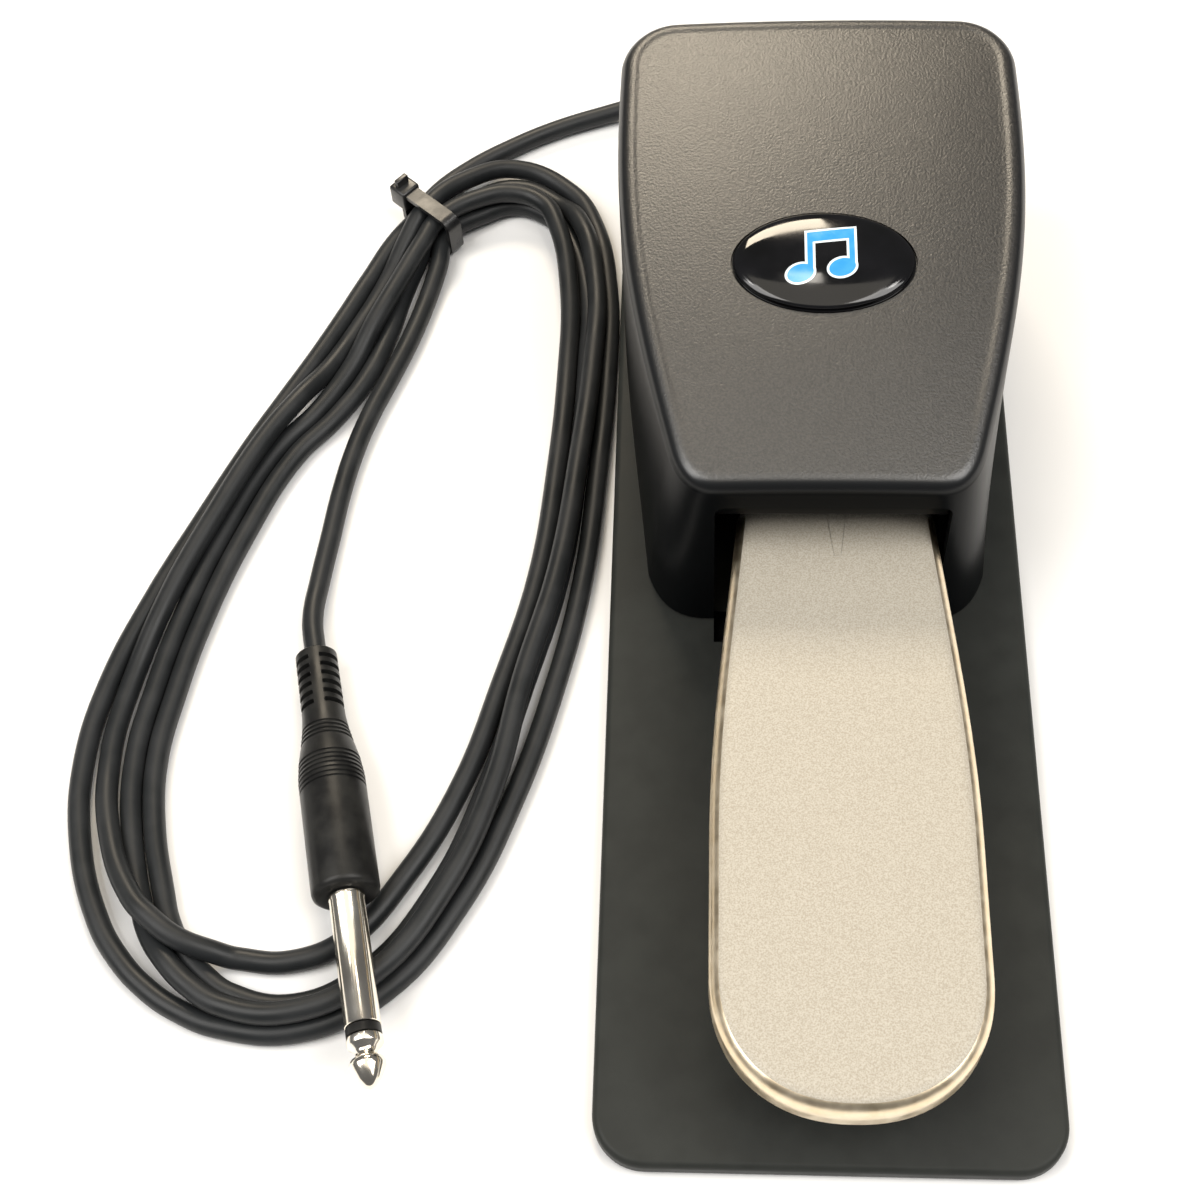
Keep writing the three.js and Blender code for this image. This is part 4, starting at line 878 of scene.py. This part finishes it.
# ---- lever and spring -------------------------------------------------------------------------------
def lever_outline():
    nose = []
    for angle in quarter(24)[:-1]:
        across, back = math.sin(angle) ** NOSE_POWER, 1 - math.cos(angle) ** NOSE_POWER
        nose.append(Vector((PAD_HALF * across, PAD_TIP_Y + PAD_NOSE * back)))
    straight_side = straight((PAD_HALF, PAD_TIP_Y + PAD_NOSE), (PAD_HALF, -60), 6)
    flank = bezier([(PAD_HALF, -60), (PAD_HALF, -38), (20.2, -19), PAD_REAR], 24)
    shoulder = bezier([PAD_REAR, (17.4, 7.5), (ARM_HALF, 8), (ARM_HALF, 13)], 6)
    arm = straight((ARM_HALF, 13), (ARM_HALF, ARM_END_Y - 2), 14)
    end = [
        (ARM_HALF, ARM_END_Y - 2), (ARM_HALF - 0.6, ARM_END_Y - 0.6), (ARM_HALF - 2, ARM_END_Y),
        (8, ARM_END_Y), (0, ARM_END_Y),
    ]
    return mirrored(nose + straight_side + flank + shoulder + arm + [Vector(p) for p in end])


def ear(x0, x1):
    outline = [(PIVOT_Y + 7, LEVER_TOP - 1.2), (PIVOT_Y - 7, LEVER_TOP - 1.2)]
    for i in range(25):
        turn = math.pi * (1 + i / 24)
        outline.append((PIVOT_Y + 7 * math.cos(turn), PIVOT_Z + 7 * math.sin(turn)))
    return loft([(x0, y, z) for y, z in outline], [(x1, y, z) for y, z in outline])


def lever():
    outline = lever_outline()
    middle = (0, -10)
    bottom = LEVER_TOP - LEVER_DEPTH
    under = LEVER_TOP - LEVER_SHEET
    thin = inset(outline, LEVER_SHEET)
    rings = [at_height(toward(thin, middle, factor), under) for factor in (0.05, 0.5, 0.9)]
    # the hollow's corner, its wall, and the rim's lower edge: how far inside the outline, and how high
    hollow = [
        (LEVER_SHEET + 1, under), (LEVER_SHEET + 0.3, under - 0.3), (LEVER_SHEET, under - 1),
        (LEVER_SHEET, bottom + 0.3), (LEVER_SHEET - 0.3, bottom), (0.4, bottom),
    ]
    rings += [at_height(inset(outline, distance), height) for distance, height in hollow]
    rings.append(at_height(outline, bottom + 0.4))
    for angle in quarter(10):
        rings.append(at_height(inset(outline, LEVER_ROLL * (1 - math.cos(angle))),
                               LEVER_TOP - LEVER_ROLL * (1 - math.sin(angle))))
    top = inset(outline, LEVER_ROLL)
    factors = (0.97, 0.9, 0.7, 0.4, 0.05)
    rings += [at_height(toward(top, middle, factor), LEVER_TOP) for factor in factors]
    body = piece("pedal_plate", loft(*rings), PAD, "pedal", ["pedal_lever"], 50)
    ears = [ear(-ARM_HALF, -ARM_HALF + LEVER_SHEET), ear(ARM_HALF - LEVER_SHEET, ARM_HALF)]
    combine(body, ears, "UNION", 50)
    circle, radius = ellipse(1, 1, 40), PIVOT_HOLE_R
    bore = loft(*[[(x, PIVOT_Y + radius * p.x, PIVOT_Z + radius * p.y) for p in circle]
                  for x in (-20, 20)])
    combine(body, [bore], sharp=50)
    body.data.transform(Matrix.Translation((MECH_X * MM, 0, 0)))
    body.data.materials.append(RIM)
    for face in body.data.polygons:
        height = face.center.z / MM
        if face.normal.z < RIM_SLOPE and height > bottom and face.center.y < PAD_END_Y * MM:
            face.material_index = 1


def spring():
    points = []
    per_turn = 32
    count = int(SPRING_TURNS * per_turn)
    travel = SPRING_HIGH - SPRING_LOW - 2 * SPRING_WIRE - 0.4
    for i in range(count + 1):
        share = i / count
        climb = share - math.sin(2 * math.pi * share) / 9
        turn = 2 * math.pi * i / per_turn
        points.append((MECH_X + SPRING_RADIUS * math.cos(turn), SPRING_Y + SPRING_RADIUS * math.sin(turn),
                       SPRING_LOW + SPRING_WIRE + 0.2 + travel * climb))
    wire = piece("coil_spring", tube(points, SPRING_WIRE, 12), SPRING_STEEL, replaces=["return_spring"])
    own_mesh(wire)


# ---- light and floor --------------------------------------------------------------------------------
def area_light(name, place, target, size, energy, color=(1, 1, 1)):
    data = bpy.data.lights.new(name, "AREA")
    data.shape = "RECTANGLE"
    data.size, data.size_y = size
    data.energy = energy
    data.color = color
    light = bpy.data.objects.new(name, data)
    light.location = place
    light.rotation_euler = (Vector(target) - Vector(place)).to_track_quat("-Z", "Y").to_euler()
    bpy.context.scene.collection.objects.link(light)


def add_studio():
    area_light("ceiling_left", (-0.8, -0.32, 1.2), (-0.1, -0.1, 0), (0.7, 1.0), 14, (1, 0.98, 0.95))
    area_light("ceiling_right", (0.8, -0.32, 1.2), (0.1, -0.1, 0), (0.7, 1.0), 14, (1, 0.98, 0.95))
    area_light("ceiling_middle", (0, -0.15, 1.2), (0, -0.15, 0), (0.9, 1.0), 3.5, (1, 0.93, 0.8))
    area_light("key", (-0.15, 0.95, 0.85), (-0.02, 0.05, 0.05), (0.45, 0.3), 9, (1, 0.87, 0.68))
    area_light("spark", (0, 0.45, 1.25), (0, 0, 0.03), (0.12, 0.12), 0.6, (1, 0.94, 0.84))
    area_light("left", (-0.6, 0.1, 1.2), (0, 0.05, 0.03), (0.15, 0.15), 1, (1, 0.97, 0.93))
    area_light("right", (0.6, 0.1, 1.2), (0, 0.05, 0.03), (0.15, 0.15), 1, (1, 0.97, 0.93))
    world = bpy.data.worlds.new("studio")
    world.use_nodes = True
    world.node_tree.nodes["Background"].inputs["Color"].default_value = (0.95, 0.96, 1, 1)
    world.node_tree.nodes["Background"].inputs["Strength"].default_value = 0.15
    bpy.context.scene.world = world
    bpy.context.scene.view_settings.view_transform = "Standard"
    paper = plain_surface("paper", (0.86, 0.86, 0.86), (0.88, 0.88, 0.88), 0.9, 3, 0.02, 40)
    mesh = bmesh.new()
    bmesh.ops.create_grid(mesh, x_segments=8, y_segments=8, size=2)
    data = bpy.data.meshes.new("floor")
    mesh.to_mesh(data)
    mesh.free()
    data.materials.append(paper)
    floor = bpy.data.objects.new("floor", data)
    floor.location.z = -0.05 * MM
    bpy.context.scene.collection.objects.link(floor)


add_camera()
cord = add_cord()
gland = strain_relief()
strap = cable_tie()
grip = plug_handle()
sleeve, ring, point = plug_metal()
housing()
badge()
badge_mark()
base()
rubber_mat()
base_screws()
lever()
spring()
finish_cad_nodes()
add_studio()
